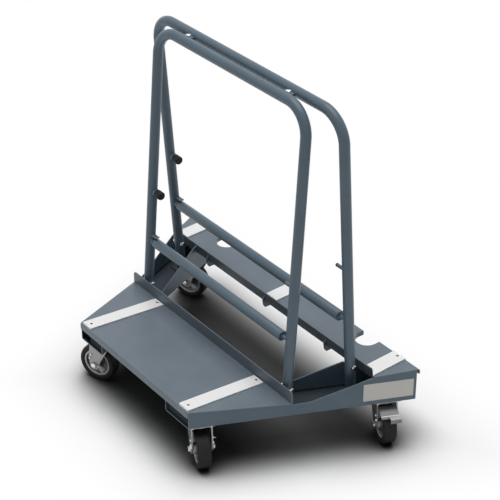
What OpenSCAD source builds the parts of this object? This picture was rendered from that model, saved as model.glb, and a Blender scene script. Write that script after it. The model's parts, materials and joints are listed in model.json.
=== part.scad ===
// Drywall cart: two decks at different heights on a pair of flared end channels,
// two leaning tube hoops tied at the top, lift-out cross bars and four swivel casters.
// X runs along the cart, -Y is the low loading side, +Z is up, origin on the floor.

/* [Overall] */
// Depth from the front edge to the rear edge
cart_depth = 762; // [740:1:790]
// Length along the front edge
front_length = 702; // [680:1:730]
// Length along the rear edge
rear_length = 1386; // [1350:1:1420]
// Floor to the underside of the end channels
caster_height = 190.5; // [184:0.5:200]
// Floor to the axis of the hoops' top bars
hoop_height = 1317; // [1200:1:1400]

/* [Sheet metal] */
// Thickness of the deck sheets
deck_t = 4; // [3:0.5:6]
// Thickness of the end channels' plate
channel_t = 4; // [3:0.5:6]
// Outer width of the end channels
channel_w = 132; // [128:1:140]
// How far the rear deck overhangs the channels' rear ends
rear_overhang = 10; // [6:1:14]

/* [Front deck] */
// Height of the front deck's top at its outer edge
front_outer_z = 263; // [258:1:268]
// Height of the front deck's top at its inner edge
front_inner_z = 242; // [238:1:248]
// Width of the front deck from front to back
front_deck_w = 342; // [325:1:344]
// Height of the front deck's outer lip
front_lip_h = 26; // [20:1:32]
// Height of the front deck's inner flange above the sheet
front_flange_h = 49; // [40:1:58]

/* [Rear deck] */
// Height of the rear deck's top at its outer edge
rear_outer_z = 321; // [318:1:326]
// Height of the rear deck's top at its inner edge
rear_inner_z = 313; // [310:1:316]
// Width of the rear deck from front to back
rear_deck_w = 130; // [126:1:136]
// How far the deck's corners reach forward of its inner edge
rear_corner_reach = 27; // [20:1:34]
// Length of the slanted part of the inner edge, along the cart
rear_corner_run = 36; // [30:1:50]
// Height of the rear deck's outer lip
rear_lip_h = 20; // [15:1:24]
// Height of the rear deck's inner flange
rear_flange_h = 36; // [30:1:42]
// Distance of the hand notches from the middle
notch_x = 431; // [420:1:440]
// Radius of the hand notches
notch_r = 45; // [38:1:46]
// Depth of the hand notches
notch_depth = 67; // [60:1:72]

/* [Deck ribs] */
// Distance between the ribs under the rear deck
rib_pitch = 369; // [360:1:375]
// Place of the middle rib
rib_middle_x = -42; // [-46:1:-36]
// Thickness of the ribs
rib_t = 6; // [4:0.5:8]
// Height of the ribs below the deck sheet
rib_h = 62; // [56:1:70]
// How far the ribs' noses stand ahead of the deck's inner flange
rib_nose = 11; // [8:1:16]

/* [Wear strips] */
// Width of the front wear strips
front_strip_w = 56; // [48:1:60]
// Distance of the front strips' middles from the cart's middle
front_strip_x = 317; // [310:1:318]
// Width of the rear wear strips
rear_strip_w = 62; // [54:1:64]
// Distance of the outer rear strips' middles from the cart's middle
rear_strip_x = 587; // [582:1:588]
// Thickness of the wear strips
strip_t = 5; // [4:0.5:8]
// Diameter of the strip screws' heads
strip_screw_d = 9; // [7:0.5:11]

/* [Hoops] */
// Outer diameter of the hoop and cross bar tube
tube_d = 38.1; // [36:0.1:40]
// Wall of the tube
tube_wall = 2.5; // [2:0.1:3]
// Bend radius of the hoops, on the tube's axis
bend_r = 102; // [90:1:115]
// Front hoop: legs' axes inward from the end plates at the feet
front_foot_in = 72.5; // [69:0.5:77]
// Front hoop: legs' axes behind the front deck's inner edge at the feet
front_foot_back = 20; // [17:1:23]
// Front hoop: how far each leg leans inward from foot to top
front_lean_in = 13; // [6:1:20]
// Rear hoop: legs' axes inward from the end plates at the feet
rear_foot_in = 81.7; // [78.7:0.5:84.7]
// Rear hoop: legs' axes ahead of the rear deck's inner edge at the feet
rear_foot_ahead = 49; // [47:1:53]
// Rear hoop: how far each leg leans outward from foot to top
rear_lean_out = 5; // [1:1:9]
// Distance between the axes of the two top bars
top_spacing = 60; // [56:1:64]
// How far the top bars' middle lies behind the feet's middle
top_shift = 1.5; // [-2:0.5:4]

/* [Hoop feet] */
// Width of each foot's base plate
foot_plate_w = 84; // [76:1:86]
// Thickness of the feet's base plates
foot_plate_t = 5; // [4:0.5:6]
// Height of the cross bolts in the front legs
front_bolt_z = 264; // [260:1:270]
// Height of the cross bolts in the rear legs
rear_bolt_z = 326; // [320:1:334]
// Diameter of the cross bolts
foot_bolt_d = 10; // [8:0.5:12]

/* [Cross bars] */
// Height of the front cross bar
front_bar_z = 452; // [440:1:470]
// Height of the rear cross bar
rear_bar_z = 515; // [500:1:530]
// Height from each cross bar to the spare stub above it
stub_rise = 210; // [190:1:230]
// Space between the bar's end and the left leg
bar_left_gap = 18; // [16:1:24]
// Space between the bar's end and the right leg
bar_right_gap = 27; // [24:1:32]
// Diameter of the pins on the right legs
pin_d = 13; // [11:0.5:15]
// How far a pin reaches into its bar
pin_engage = 13; // [10:0.5:15]
// Length of the black cap on each stub
stub_cap_l = 32; // [28:1:40]

/* [Top ties] */
// Distance of the top ties from the middle
tie_x = 287; // [270:1:300]
// Length of a tie plate along the bar
tie_l = 44; // [36:1:54]
// Thickness of a tie plate
tie_t = 5; // [4:0.5:6]
// Diameter of the tie bolts
tie_bolt_d = 10; // [8:0.5:11]

/* [Casters] */
// Diameter of the wheels
wheel_d = 152.4; // [148:0.4:154]
// Width of the tyres
tyre_w = 50; // [46:1:52]
// Thickness of the rubber tyre
tyre_t = 21; // [18:1:24]
// How far the wheel trails behind the swivel axis
caster_trail = 24; // [20:1:30]
// Distance of the front casters from the channels' front ends, along the channel
front_caster_s = 54; // [52:1:60]
// Distance of the rear casters from the channels' front ends, along the channel
rear_caster_s = 729; // [715:1:740]
// Length of the caster plate along the channel
plate_l = 102; // [98:1:104]
// Width of the caster plate across the channel
plate_w = 114; // [108:1:116]
// Thickness of the caster plate
plate_t = 6; // [5:0.5:8]
// Distance between the fork legs' outer faces
fork_w = 78; // [76:1:82]
// Thickness of the fork
fork_t = 5; // [4:0.5:6]
// Diameter of the axle bolt
axle_d = 12.7; // [11:0.1:14]
// Height of the axle bolt's head
axle_head_h = 8.5; // [7:0.5:10]
// Height of the axle bolt's nut
axle_nut_h = 5.5; // [5:0.5:8]
// Outer diameter of the bushing that the wheel turns on
bushing_d = 20; // [19:0.5:22]
// Diameter of the kingpin
kingpin_d = 16; // [14:0.5:18]
// Diameter of the caster mounting bolts
mount_bolt_d = 10; // [8:0.5:10]
// Height of the caster mounting bolts' nuts
mount_nut_h = 5.5; // [5:0.5:6]
// Bolt spacing along the channel
mount_pitch_l = 67; // [64:1:70]
// Bolt spacing across the channel
mount_pitch_w = 88; // [84:1:90]

/* [Brakes] */
// Thickness of the brake pedal's plate
pedal_t = 3; // [2.5:0.5:4]
// Space between the tyre and the brake pedal's cover
pedal_gap = 8; // [7:0.5:10]
// Width of the pedal's tongue
tongue_w = 40; // [30:1:44]
// Length of the pedal's tongue beyond the cover
tongue_l = 24; // [18:1:30]
// Diameter of the pedal's two pivot pins
pivot_d = 6; // [5:0.5:8]
// Width of the side lever's tab
lever_tab = 21; // [18:1:24]
// Thickness of the side lever
lever_t = 3; // [2.5:0.5:4]
// Distance from the axle to the middle of the side lever's tab
lever_arm = 42; // [38:1:46]

/* [Label] */
// Length of the bare label plate
label_l = 184; // [160:1:190]
// Height of the bare label plate
label_h = 72; // [60:1:76]
// Middle of the label plate, along the channel
label_s = 722; // [700:1:730]

/* [Hidden] */
$fn = 48;
eps = 0.01;
// Running clearance between a turning part and what it turns on, on the radius
run_gap = 0.05;
// Clearance of a bolt in its hole, on the radius
bolt_gap = 0.25;
// Sliding clearance of the cross bars on their stubs and pins, on the radius
slide_gap = 0.4;
// Space left between a plate and what it passes
plate_gap = 0.5;
// How far the rings where the hoops' bends begin stand above the tube
joint_step = 0.1;

flare = atan((rear_length - front_length) / 2 / cart_depth);
front_y = -cart_depth / 2;
rear_y = cart_depth / 2;
channel_front_y = front_y + deck_t;
channel_rear_y = rear_y - rear_overhang;
channel_z = caster_height;
floor_z = channel_z + channel_t;
front_inner_y = front_y + front_deck_w;
rear_inner_y = rear_y - rear_deck_w;
rear_corner_y = rear_inner_y - rear_corner_reach;
front_slope = (front_inner_z - front_outer_z) / front_deck_w;
rear_slope = (rear_outer_z - rear_inner_z) / rear_deck_w;
// The webs rise from the low deck to the high deck between these two places
rise_y = front_inner_y + 64;
rise_z = front_z(rise_y) + 3;
tube_id = tube_d - 2 * tube_wall;
peg_d = tube_id - 2 * slide_gap;
neck_d = peg_d - 5;
// Length of the bare part of a stub next to the leg
stub_neck = 12;
// Length that the cap holds of the stub's neck
stub_in_cap = stub_cap_l - 6;
// Length of the pins from the leg, and of their black tips
pin_l = bar_right_gap + pin_engage;
tip_l = 8;
// Thickness of the plugs in the bars' right ends, and how deep they sit
plug_t = 6;
plug_in = 2;
front_foot_y = front_inner_y + front_foot_back;
rear_foot_y = rear_inner_y - rear_foot_ahead;
front_foot_x = half_length(front_foot_y) - front_foot_in;
rear_foot_x = half_length(rear_foot_y) - rear_foot_in;
front_top_x = front_foot_x - front_lean_in;
rear_top_x = rear_foot_x + rear_lean_out;
tie_y = (front_foot_y + rear_foot_y) / 2 + top_shift;
front_top_y = tie_y - top_spacing / 2;
rear_top_y = tie_y + top_spacing / 2;
// The front mouth plates stand behind the deck's lip
mouth_back = 8;
// Length of the opening at the left channel's outer front corner
open_corner_l = 54;
// The rear mouth plates stand above the caster bolts' heads and end below the deck
rear_mouth_low = 12;
rear_mouth_high = 72;
// Height that is sure to reach above both decks
over_decks = 2 * rear_outer_z;
rear_flange_l = 2 * (half_length(rear_corner_y) - rear_corner_run);
// Length of a hoop foot's base plate, from front to back
foot_base_l = 60;
front_screw_y = [front_y + 28, front_inner_y - 20];
rear_screw_y = rear_y - 14;
front_stations = [front_bar_z, front_bar_z + stub_rise];
rear_stations = [rear_bar_z, rear_bar_z + stub_rise];

wheel_r = wheel_d / 2;
race_h = 8;
crown_t = 6;
crown_d = 84;
plate_z = channel_z - plate_t;
race_z = plate_z - race_h;
crown_z = race_z - crown_t;
fork_in = fork_w / 2 - fork_t;
hub_w = 2 * fork_in - 2;
rim_d = wheel_d - 2 * tyre_t;
caster_n = channel_w / 2;
// Ring on the underside of the caster plate, inside the ball race
boss_d = 44;
boss_h = 3;
kingpin_head_h = 6;
// Fasteners in each fork leg, out from the axle and up from it; the first holds the pedal
fork_bolts = [[12, 45], [18, 28]];
pivot = fork_bolts[0];
cover_r = wheel_r + pedal_gap;
ear_out = fork_in - 1;
ear_in = ear_out - pedal_t;
ear_r = 8;
// The side lever runs between the fork's leg and the axle's nut
lever_y = fork_w / 2 + plate_gap;
nut_y = lever_y + lever_t + plate_gap;

function half_length(y) = front_length / 2 + (y - front_y) * tan(flare);
function front_z(y) = front_outer_z + (y - front_y) * front_slope;
function rear_z(y) = rear_inner_z + (y - rear_inner_y) * rear_slope;

// Corners of the four casters: name, side, place along the channel, has a pedal
CASTERS = [["front_right", 1, front_caster_s, false], ["front_left", -1, front_caster_s, false],
           ["rear_right", 1, rear_caster_s, true], ["rear_left", -1, rear_caster_s, true]];
function caster(name) = [for (c = CASTERS) if (c[0] == name) c][0];

// Colours
module paint() { color([0.30, 0.34, 0.37]) children(); }
module deck_paint() { color([0.45, 0.49, 0.52]) children(); }
module white_plastic() { color([0.91, 0.91, 0.90]) children(); }
module zinc() { color([0.72, 0.72, 0.71]) children(); }
module black_rubber() { color([0.13, 0.13, 0.13]) children(); }
module rim_grey() { color([0.60, 0.60, 0.60]) children(); }

// Places

// Puts +X along the end plate, from its front corner, and +Y towards the cart's middle
module end_frame(side) {
    mirror([side < 0 ? 1 : 0, 0, 0])
        translate([front_length / 2, front_y, 0])
            rotate([0, 0, 90 - flare]) children();
}

// Draws a Y-Z outline and runs it along X over a given length about the middle
module along_x(length) {
    rotate([90, 0, 90]) linear_extrude(height = length, center = true) children();
}

// Puts +X on the trailing side of a caster and the origin on its kingpin, on the floor
module caster_frame(name) {
    c = caster(name);
    side = c[1];
    s = c[2];
    x = side * (front_length / 2 + s * sin(flare) - caster_n * cos(flare));
    y = front_y + s * cos(flare) + caster_n * sin(flare);
    translate([x, y, 0]) rotate([0, 0, side > 0 ? -flare : 180 + flare]) children();
}

// Puts +X along the cart and +Z up the plane of a hoop, from the channel's floor
module hoop_plane(foot_y, top_y) {
    translate([0, foot_y, floor_z]) rotate([-tilt(foot_y, top_y), 0, 0]) children();
}
function tilt(foot_y, top_y) = atan((top_y - foot_y) / (hoop_height - floor_z));
function plane_scale(foot_y, top_y) = 1 / cos(tilt(foot_y, top_y));
// The slanted legs' lower edges stay clear of the base plates
function leg_start(foot_y, top_y) = foot_plate_t + tube_d / 2 * tan(abs(tilt(foot_y, top_y)));
function leg_y(foot_y, top_y, z) = foot_y + (z - floor_z) * (top_y - foot_y) / (hoop_height - floor_z);
function leg_x(foot_x, top_x, z) = foot_x + (z - floor_z) * (top_x - foot_x) / (hoop_height - floor_z);

// A hex head or nut that stands on z = 0
module hex(across, height) { cylinder(d = across / cos(30), h = height, $fn = 6); }

// A bolt along +Z with its head below z = 0 and its nut at the far end
module bolt(d, grip, nut_h, tail = 3) {
    head_h = 0.65 * d;
    across = 1.7 * d;
    translate([0, 0, -head_h]) hex(across, head_h);
    translate([0, 0, -eps]) cylinder(d = d, h = grip + nut_h + tail);
    translate([0, 0, grip]) hex(across, nut_h);
}

// End channels

// Side outline of both webs: level under the decks, rising between them
module web_outline() {
    polygon([[channel_front_y, channel_z], [channel_rear_y, channel_z],
             [channel_rear_y, rear_z(channel_rear_y) - deck_t],
             [rear_corner_y + 1, rear_z(rear_corner_y) - deck_t],
             [rear_corner_y - 3, rear_z(rear_corner_y) - deck_t - 1],
             [rise_y + 10, rise_z + 3], [rise_y, rise_z], [rise_y - 14, rise_z - 2],
             [front_inner_y + 6, front_z(front_inner_y) - deck_t],
             [front_inner_y, front_z(front_inner_y) - deck_t],
             [channel_front_y, front_z(channel_front_y) - deck_t]]);
}

module channel_section() {
    reach = channel_w;
    length = cart_depth / cos(flare) + reach;
    translate([-reach, 0, channel_z]) {
        cube([length, channel_w, channel_t]);
        cube([length, channel_t, 200]);
        translate([0, channel_w - channel_t, 0]) cube([length, channel_t, 200]);
    }
}

// A plate across the channel's mouth, in the plane y = place, between two heights
module mouth_plate(place, low, high, side) {
    inner = half_length(place) - (channel_w - channel_t) / cos(flare);
    outer = half_length(place) - channel_t / cos(flare);
    x = side > 0 ? inner : -outer;
    translate([x, place, low]) cube([outer - inner, channel_t, high - low]);
}

module end_channel(side) {
    mouth_y = channel_front_y + mouth_back;
    difference() {
        union() {
            intersection() {
                end_frame(side) channel_section();
                along_x(rear_length + 100) web_outline();
            }
            difference() {
                mouth_plate(mouth_y, floor_z - eps, front_z(mouth_y + channel_t) - deck_t, side);
                // The left end leaves its outer corner open
                if (side < 0)
                    translate([-half_length(mouth_y), mouth_y - 1, floor_z])
                        cube([open_corner_l, channel_t + 2, rear_outer_z]);
            }
            mouth_plate(channel_rear_y - channel_t, floor_z + rear_mouth_low,
                        floor_z + rear_mouth_high, side);
        }
        // Slot for the rear deck's inner flange
        translate([-rear_flange_l / 2 - plate_gap, rear_inner_y - plate_gap,
                   rear_inner_z - rear_flange_h - plate_gap])
            cube([rear_flange_l + 2 * plate_gap, deck_t + 2 * plate_gap, rear_flange_h + 20]);
        // Holes for the caster bolts
        for (s = [front_caster_s, rear_caster_s])
            end_frame(side) translate([s, caster_n, 0]) mount_holes();
    }
}

module mount_holes() {
    for (x = [-1, 1], y = [-1, 1])
        translate([x * mount_pitch_l / 2, y * mount_pitch_w / 2, plate_z - 1])
            cylinder(d = mount_bolt_d + 2 * bolt_gap, h = plate_t + channel_t + 2);
}

module right_end_channel() { paint() end_channel(1); }
module left_end_channel() { paint() end_channel(-1); }

// Front deck

module plan(points) { linear_extrude(height = over_decks) polygon(points); }

function front_plan() = [
    [-half_length(front_y), front_y], [half_length(front_y), front_y],
    [half_length(front_inner_y), front_inner_y], [-half_length(front_inner_y), front_inner_y]];

module front_deck() {
    deck_paint() intersection() {
        along_x(rear_length) {
            polygon([[front_y, front_outer_z - deck_t], [front_inner_y, front_inner_z - deck_t],
                     [front_inner_y, front_inner_z], [front_y, front_outer_z]]);
            translate([front_y, front_outer_z - front_lip_h])
                square([deck_t, front_lip_h - deck_t / 2]);
            translate([front_inner_y - deck_t, front_inner_z - deck_t / 2])
                square([deck_t, front_flange_h + deck_t / 2]);
        }
        plan(front_plan());
    }
}

// Rear deck

function rear_plan() = [
    [-half_length(rear_y), rear_y], [-half_length(rear_corner_y), rear_corner_y],
    [rear_corner_run - half_length(rear_corner_y), rear_inner_y],
    [half_length(rear_corner_y) - rear_corner_run, rear_inner_y],
    [half_length(rear_corner_y), rear_corner_y], [half_length(rear_y), rear_y]];

// Volume of the two hand notches, grown by a wall
module notches(top, wall = 0) {
    for (side = [-1, 1])
        translate([side * notch_x, rear_y - notch_depth + notch_r, -eps]) {
            cylinder(r = notch_r + wall, h = top);
            translate([-notch_r - wall, 0, 0]) cube([2 * (notch_r + wall), notch_depth, top]);
        }
}

module rear_sheet_outline() {
    polygon([[rear_corner_y - 10, rear_z(rear_corner_y - 10) - deck_t], [rear_y, rear_outer_z - deck_t],
             [rear_y, rear_outer_z], [rear_corner_y - 10, rear_z(rear_corner_y - 10)]]);
}

module rear_deck() {
    deck_paint() difference() {
        intersection() {
            along_x(rear_length + 100) {
                rear_sheet_outline();
                translate([rear_y - deck_t, rear_outer_z - rear_lip_h])
                    square([deck_t, rear_lip_h - deck_t / 2]);
            }
            plan(rear_plan());
        }
        notches(over_decks);
    }
    deck_paint() translate([-rear_flange_l / 2, rear_inner_y, rear_inner_z - rear_flange_h])
        cube([rear_flange_l, deck_t, rear_flange_h - deck_t / 2]);
    deck_paint() notch_walls();
}

// Walls that hang from the deck round the notches, as low as its rear lip
module notch_walls() {
    start = rear_y - notch_depth - deck_t;
    intersection() {
        difference() {
            notches(over_decks, deck_t);
            translate([0, 0, -1]) notches(over_decks + 2);
        }
        along_x(rear_length)
            polygon([[start, rear_outer_z - rear_lip_h], [rear_y, rear_outer_z - rear_lip_h],
                     [rear_y, rear_outer_z - deck_t / 2], [start, rear_z(start) - deck_t / 2]]);
    }
}

// Ribs under the rear deck, each with a nose ahead of the deck's inner flange
module deck_ribs() {
    low = rear_inner_z - deck_t - rib_h + 3;
    paint() difference() {
        for (k = [-1:1]) translate([rib_middle_x + k * rib_pitch, 0, 0]) difference() {
            along_x(rib_t)
                polygon([[rear_inner_y + 2, rear_inner_z - deck_t - 2],
                         [rear_inner_y - rib_nose, rear_inner_z - deck_t - 19],
                         [rear_inner_y - 0.6 * rib_nose, low + 12],
                         [rear_inner_y + 1, low], [rear_inner_y + 27, low],
                         [rear_y - deck_t - 30, rear_outer_z - rear_lip_h - 4],
                         [rear_y - deck_t - 1, rear_outer_z - rear_lip_h],
                         [rear_y - deck_t - 1, rear_z(rear_y - deck_t - 1) - deck_t],
                         [rear_inner_y + deck_t, rear_z(rear_inner_y + deck_t) - deck_t]]);
            // Slot for the flange
            translate([-rib_t, rear_inner_y - plate_gap / 2, rear_inner_z - rear_flange_h - plate_gap])
                cube([2 * rib_t, deck_t + plate_gap, rear_flange_h + 20]);
        }
        // Room below the notches
        translate([0, 0, rear_outer_z - rear_lip_h - 8]) notches(over_decks, deck_t + plate_gap);
    }
}

// Wear strips

// Sheet of strip material on the front deck, tilted with it
module front_wear_strips() {
    white_plastic() for (side = [-1, 1])
        translate([side * front_strip_x, 0, 0]) difference() {
            along_x(front_strip_w) {
                a = front_y + 6;
                b = front_inner_y - deck_t - 4;
                polygon([[a, front_z(a)], [b, front_z(b)], [b, front_z(b) + strip_t],
                         [a + 2, front_z(a) + strip_t]]);
            }
            for (y = front_screw_y) screw_place(y, front_z(y)) screw_hole();
        }
}

// Moves to the strip's top at y
module screw_place(y, z) { translate([0, y, z + strip_t]) children(); }
module screw_hole() {
    translate([0, 0, -strip_t - 2]) cylinder(d = strip_screw_d / 2 + 2 * bolt_gap, h = strip_t + 4);
    translate([0, 0, -2.2]) cylinder(d = strip_screw_d + 2 * bolt_gap, h = 6);
}
module strip_screw() {
    translate([0, 0, -2]) cylinder(d = strip_screw_d, h = 1.6);
    translate([0, 0, plate_gap - strip_t]) cylinder(d = strip_screw_d / 2, h = strip_t - 1 - plate_gap);
}

module rear_wear_strips() {
    white_plastic() intersection() {
        union() for (k = [-1:1])
            translate([k * rear_strip_x, 0, 0]) difference() {
                along_x(rear_strip_w) {
                    a = rear_corner_y - 10;
                    b = rear_y - 1;
                    polygon([[a, rear_z(a)], [b, rear_z(b)], [b - 1, rear_z(b) + strip_t],
                             [a, rear_z(a) + strip_t]]);
                }
                screw_place(rear_screw_y, rear_z(rear_screw_y)) screw_hole();
            }
        plan(rear_plan());
    }
}

module strip_screws() {
    zinc() {
        for (side = [-1, 1], y = front_screw_y)
            translate([side * front_strip_x, 0, 0]) screw_place(y, front_z(y)) strip_screw();
        for (k = [-1:1])
            translate([k * rear_strip_x, 0, 0])
                screw_place(rear_screw_y, rear_z(rear_screw_y)) strip_screw();
    }
}

// Bare plate on the right end
module label_plate() {
    zinc() end_frame(1)
        translate([label_s - label_l / 2, -1, channel_z + (rear_inner_z - channel_z - label_h) / 2 - 4])
            cube([label_l, 1, label_h]);
}

// Hoops

// One solid rod along the hoop's path, in the hoop's own plane
module hoop_rod(foot_x, top_x, height, d) {
    lean = atan((foot_x - top_x) / height);
    centre_x = foot_x - (height - bend_r) * tan(lean) - bend_r / cos(lean);
    leg_l = (height - bend_r + bend_r * sin(lean)) / cos(lean);
    for (side = [0, 1]) mirror([side, 0, 0]) {
        translate([foot_x, 0, 0]) rotate([0, -lean, 0]) {
            cylinder(d = d, h = leg_l);
            translate([0, 0, leg_l]) bend_joint(d);
        }
        translate([centre_x, 0, height - bend_r]) rotate([90, 0, 0]) rotate([0, 0, lean])
            rotate_extrude(angle = 90 - lean, $fn = 96) translate([bend_r, 0]) circle(d = d);
        translate([centre_x, 0, height]) rotate([0, 90, 0]) bend_joint(d);
    }
    translate([-centre_x, 0, height]) rotate([0, 90, 0]) cylinder(d = d, h = 2 * centre_x);
}

// Hardly raised ring where a bend meets the straight tube
module bend_joint(d) { translate([0, 0, -1]) cylinder(d = d + 2 * joint_step, h = 2); }

// One straight leg as a solid rod, as far as the bend
module leg_rod(foot_x, top_x, foot_y, top_y, side) {
    start = leg_start(foot_y, top_y);
    height = (hoop_height - floor_z) * plane_scale(foot_y, top_y) - start;
    mirror([side < 0 ? 1 : 0, 0, 0]) hoop_plane(foot_y, top_y) translate([foot_x, 0, start])
        rotate([0, -atan((foot_x - top_x) / height), 0]) cylinder(d = tube_d, h = height - bend_r);
}

module hoop(foot_x, top_x, foot_y, top_y, bolt_z) {
    start = leg_start(foot_y, top_y);
    height = (hoop_height - floor_z) * plane_scale(foot_y, top_y) - start;
    difference() {
        hoop_plane(foot_y, top_y) translate([0, 0, start]) difference() {
            hoop_rod(foot_x, top_x, height, tube_d);
            translate([0, 0, -eps]) hoop_rod(foot_x, top_x, height + eps, tube_id);
        }
        leg_bolt_holes(foot_x, top_x, foot_y, top_y, bolt_z);
    }
}

module leg_bolt_holes(foot_x, top_x, foot_y, top_y, bolt_z) {
    for (side = [-1, 1])
        translate([side * leg_x(foot_x, top_x, bolt_z) - tube_d, leg_y(foot_y, top_y, bolt_z), bolt_z])
            rotate([0, 90, 0]) cylinder(d = foot_bolt_d + 2 * bolt_gap, h = 2 * tube_d);
}

module front_hoop() {
    paint() hoop(front_foot_x, front_top_x, front_foot_y, front_top_y, front_bolt_z);
}
module rear_hoop() {
    paint() hoop(rear_foot_x, rear_top_x, rear_foot_y, rear_top_y, rear_bolt_z);
}

// Feet: a base plate on the channel's floor and a peg inside the leg
module hoop_feet(foot_x, top_x, foot_y, top_y, bolt_z) {
    height = (hoop_height - floor_z) * plane_scale(foot_y, top_y);
    lean = atan((foot_x - top_x) / height);
    difference() {
        for (side = [0, 1]) mirror([side, 0, 0]) {
            translate([foot_x - foot_plate_w / 2, foot_y - foot_base_l / 2 + 4, floor_z])
                cube([foot_plate_w, foot_base_l, foot_plate_t - plate_gap]);
            hoop_plane(foot_y, top_y) translate([foot_x, 0, 0]) rotate([0, -lean, 0])
                translate([0, 0, 2]) cylinder(d = peg_d, h = bolt_z - floor_z + 24);
        }
        leg_bolt_holes(foot_x, top_x, foot_y, top_y, bolt_z);
    }
}
module front_hoop_feet() {
    paint() hoop_feet(front_foot_x, front_top_x, front_foot_y, front_top_y, front_bolt_z);
}
module rear_hoop_feet() {
    paint() hoop_feet(rear_foot_x, rear_top_x, rear_foot_y, rear_top_y, rear_bolt_z);
}

module foot_bolt_pair(foot_x, top_x, foot_y, top_y, bolt_z) {
    for (side = [-1, 1])
        translate([side * leg_x(foot_x, top_x, bolt_z) + tube_d / 2, leg_y(foot_y, top_y, bolt_z), bolt_z])
            rotate([0, -90, 0]) bolt(foot_bolt_d, tube_d, 0.8 * foot_bolt_d);
}
module foot_bolts() {
    zinc() {
        foot_bolt_pair(front_foot_x, front_top_x, front_foot_y, front_top_y, front_bolt_z);
        foot_bolt_pair(rear_foot_x, rear_top_x, rear_foot_y, rear_top_y, rear_bolt_z);
    }
}

// Top ties: lapped plates across the space between the top bars

module tie_plates(y0, y1, z) {
    difference() {
        for (side = [-1, 1]) translate([side * tie_x, 0, z]) difference() {
            translate([-tie_l / 2, y0, 0]) cube([tie_l, y1 - y0, tie_t]);
            translate([0, tie_y, -1]) cylinder(d = tie_bolt_d + 2 * bolt_gap, h = tie_t + 2);
        }
        for (y = [front_top_y, rear_top_y])
            translate([-tie_x - tie_l, y, hoop_height]) rotate([0, 90, 0])
                cylinder(d = tube_d, h = 2 * (tie_x + tie_l));
    }
}
// Each plate is fixed to its own bar and stops just short of the other one
module front_top_ties() {
    y0 = front_top_y + tube_d / 2 - 1;
    paint() tie_plates(y0, rear_top_y - tube_d / 2 - plate_gap, hoop_height);
}
module rear_top_ties() {
    y1 = rear_top_y - tube_d / 2 + 1;
    paint() tie_plates(front_top_y + tube_d / 2 + plate_gap, y1, hoop_height - tie_t);
}
module top_tie_bolts() {
    zinc() for (side = [-1, 1])
        translate([side * tie_x, tie_y, hoop_height + tie_t]) rotate([180, 0, 0])
            bolt(tie_bolt_d, 2 * tie_t, 0.8 * tie_bolt_d);
}

// Cross bars, their stubs on the left legs and their pins on the right legs

// Hands over the four stations: height, leg middle and leg place
module at_stations(front_heights, rear_heights, side) {
    for (z = front_heights)
        translate([side * leg_x(front_foot_x, front_top_x, z), leg_y(front_foot_y, front_top_y, z), z])
            children();
    for (z = rear_heights)
        translate([side * leg_x(rear_foot_x, rear_top_x, z), leg_y(rear_foot_y, rear_top_y, z), z])
            children();
}

// Cuts away what lies inside the hoops' legs on one side
module outside_legs(side) {
    difference() {
        children();
        leg_rod(front_foot_x, front_top_x, front_foot_y, front_top_y, side);
        leg_rod(rear_foot_x, rear_top_x, rear_foot_y, rear_top_y, side);
    }
}

module bar_stubs() {
    paint() outside_legs(-1) {
        at_stations(front_stations, rear_stations, -1)
            rotate([0, 90, 0]) cylinder(d = neck_d, h = tube_d / 2 + stub_neck + stub_in_cap);
        // A keeper plate above the end of each bar in use
        at_stations([front_bar_z], [rear_bar_z], -1)
            translate([0, -9, tube_d / 2 + 7]) cube([tube_d / 2 + bar_left_gap + 14, 18, 3]);
    }
}
module stub_caps() {
    black_rubber() at_stations(front_stations, rear_stations, -1)
        translate([tube_d / 2 + stub_neck, 0, 0]) rotate([0, 90, 0]) difference() {
            cylinder(d = peg_d, h = stub_cap_l);
            translate([0, 0, -1]) cylinder(d = neck_d, h = stub_in_cap + 1);
        }
}

module bar_pins() {
    paint() outside_legs(1) {
        at_stations(front_stations, rear_stations, 1)
            rotate([0, -90, 0]) cylinder(d = pin_d, h = tube_d / 2 + pin_l - tip_l);
        // A small upright tab behind each pin
        at_stations(front_stations, rear_stations, 1)
            translate([-tube_d / 2 - 7, -3, 0]) cube([12, 6, pin_d / 2 + 7]);
    }
}
module pin_tips() {
    black_rubber() at_stations(front_stations, rear_stations, 1)
        translate([-tube_d / 2 - pin_l, 0, 0]) rotate([0, 90, 0]) cylinder(d = pin_d, h = tip_l);
}

module cross_bar(foot_x, top_x, foot_y, top_y, z) {
    leg = leg_x(foot_x, top_x, z);
    left = -leg + tube_d / 2 + bar_left_gap;
    right = leg - tube_d / 2 - bar_right_gap;
    translate([left, leg_y(foot_y, top_y, z), z]) rotate([0, 90, 0]) difference() {
        cylinder(d = tube_d, h = right - left);
        translate([0, 0, -1]) cylinder(d = tube_id, h = right - left + 2);
    }
}

module end_plug(foot_x, top_x, foot_y, top_y, z) {
    leg = leg_x(foot_x, top_x, z);
    right = leg - tube_d / 2 - bar_right_gap;
    translate([right - plug_t - plug_in, leg_y(foot_y, top_y, z), z]) rotate([0, 90, 0]) difference() {
        cylinder(d = tube_id, h = plug_t);
        translate([0, 0, -1]) cylinder(d = pin_d + 2 * slide_gap, h = plug_t + 2);
    }
}
module front_cross_bar() {
    paint() cross_bar(front_foot_x, front_top_x, front_foot_y, front_top_y, front_bar_z);
}
module rear_cross_bar() {
    paint() cross_bar(rear_foot_x, rear_top_x, rear_foot_y, rear_top_y, rear_bar_z);
}
module bar_end_plugs_front() {
    paint() end_plug(front_foot_x, front_top_x, front_foot_y, front_top_y, front_bar_z);
}
module bar_end_plugs_rear() {
    paint() end_plug(rear_foot_x, rear_top_x, rear_foot_y, rear_top_y, rear_bar_z);
}

// Casters

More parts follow.
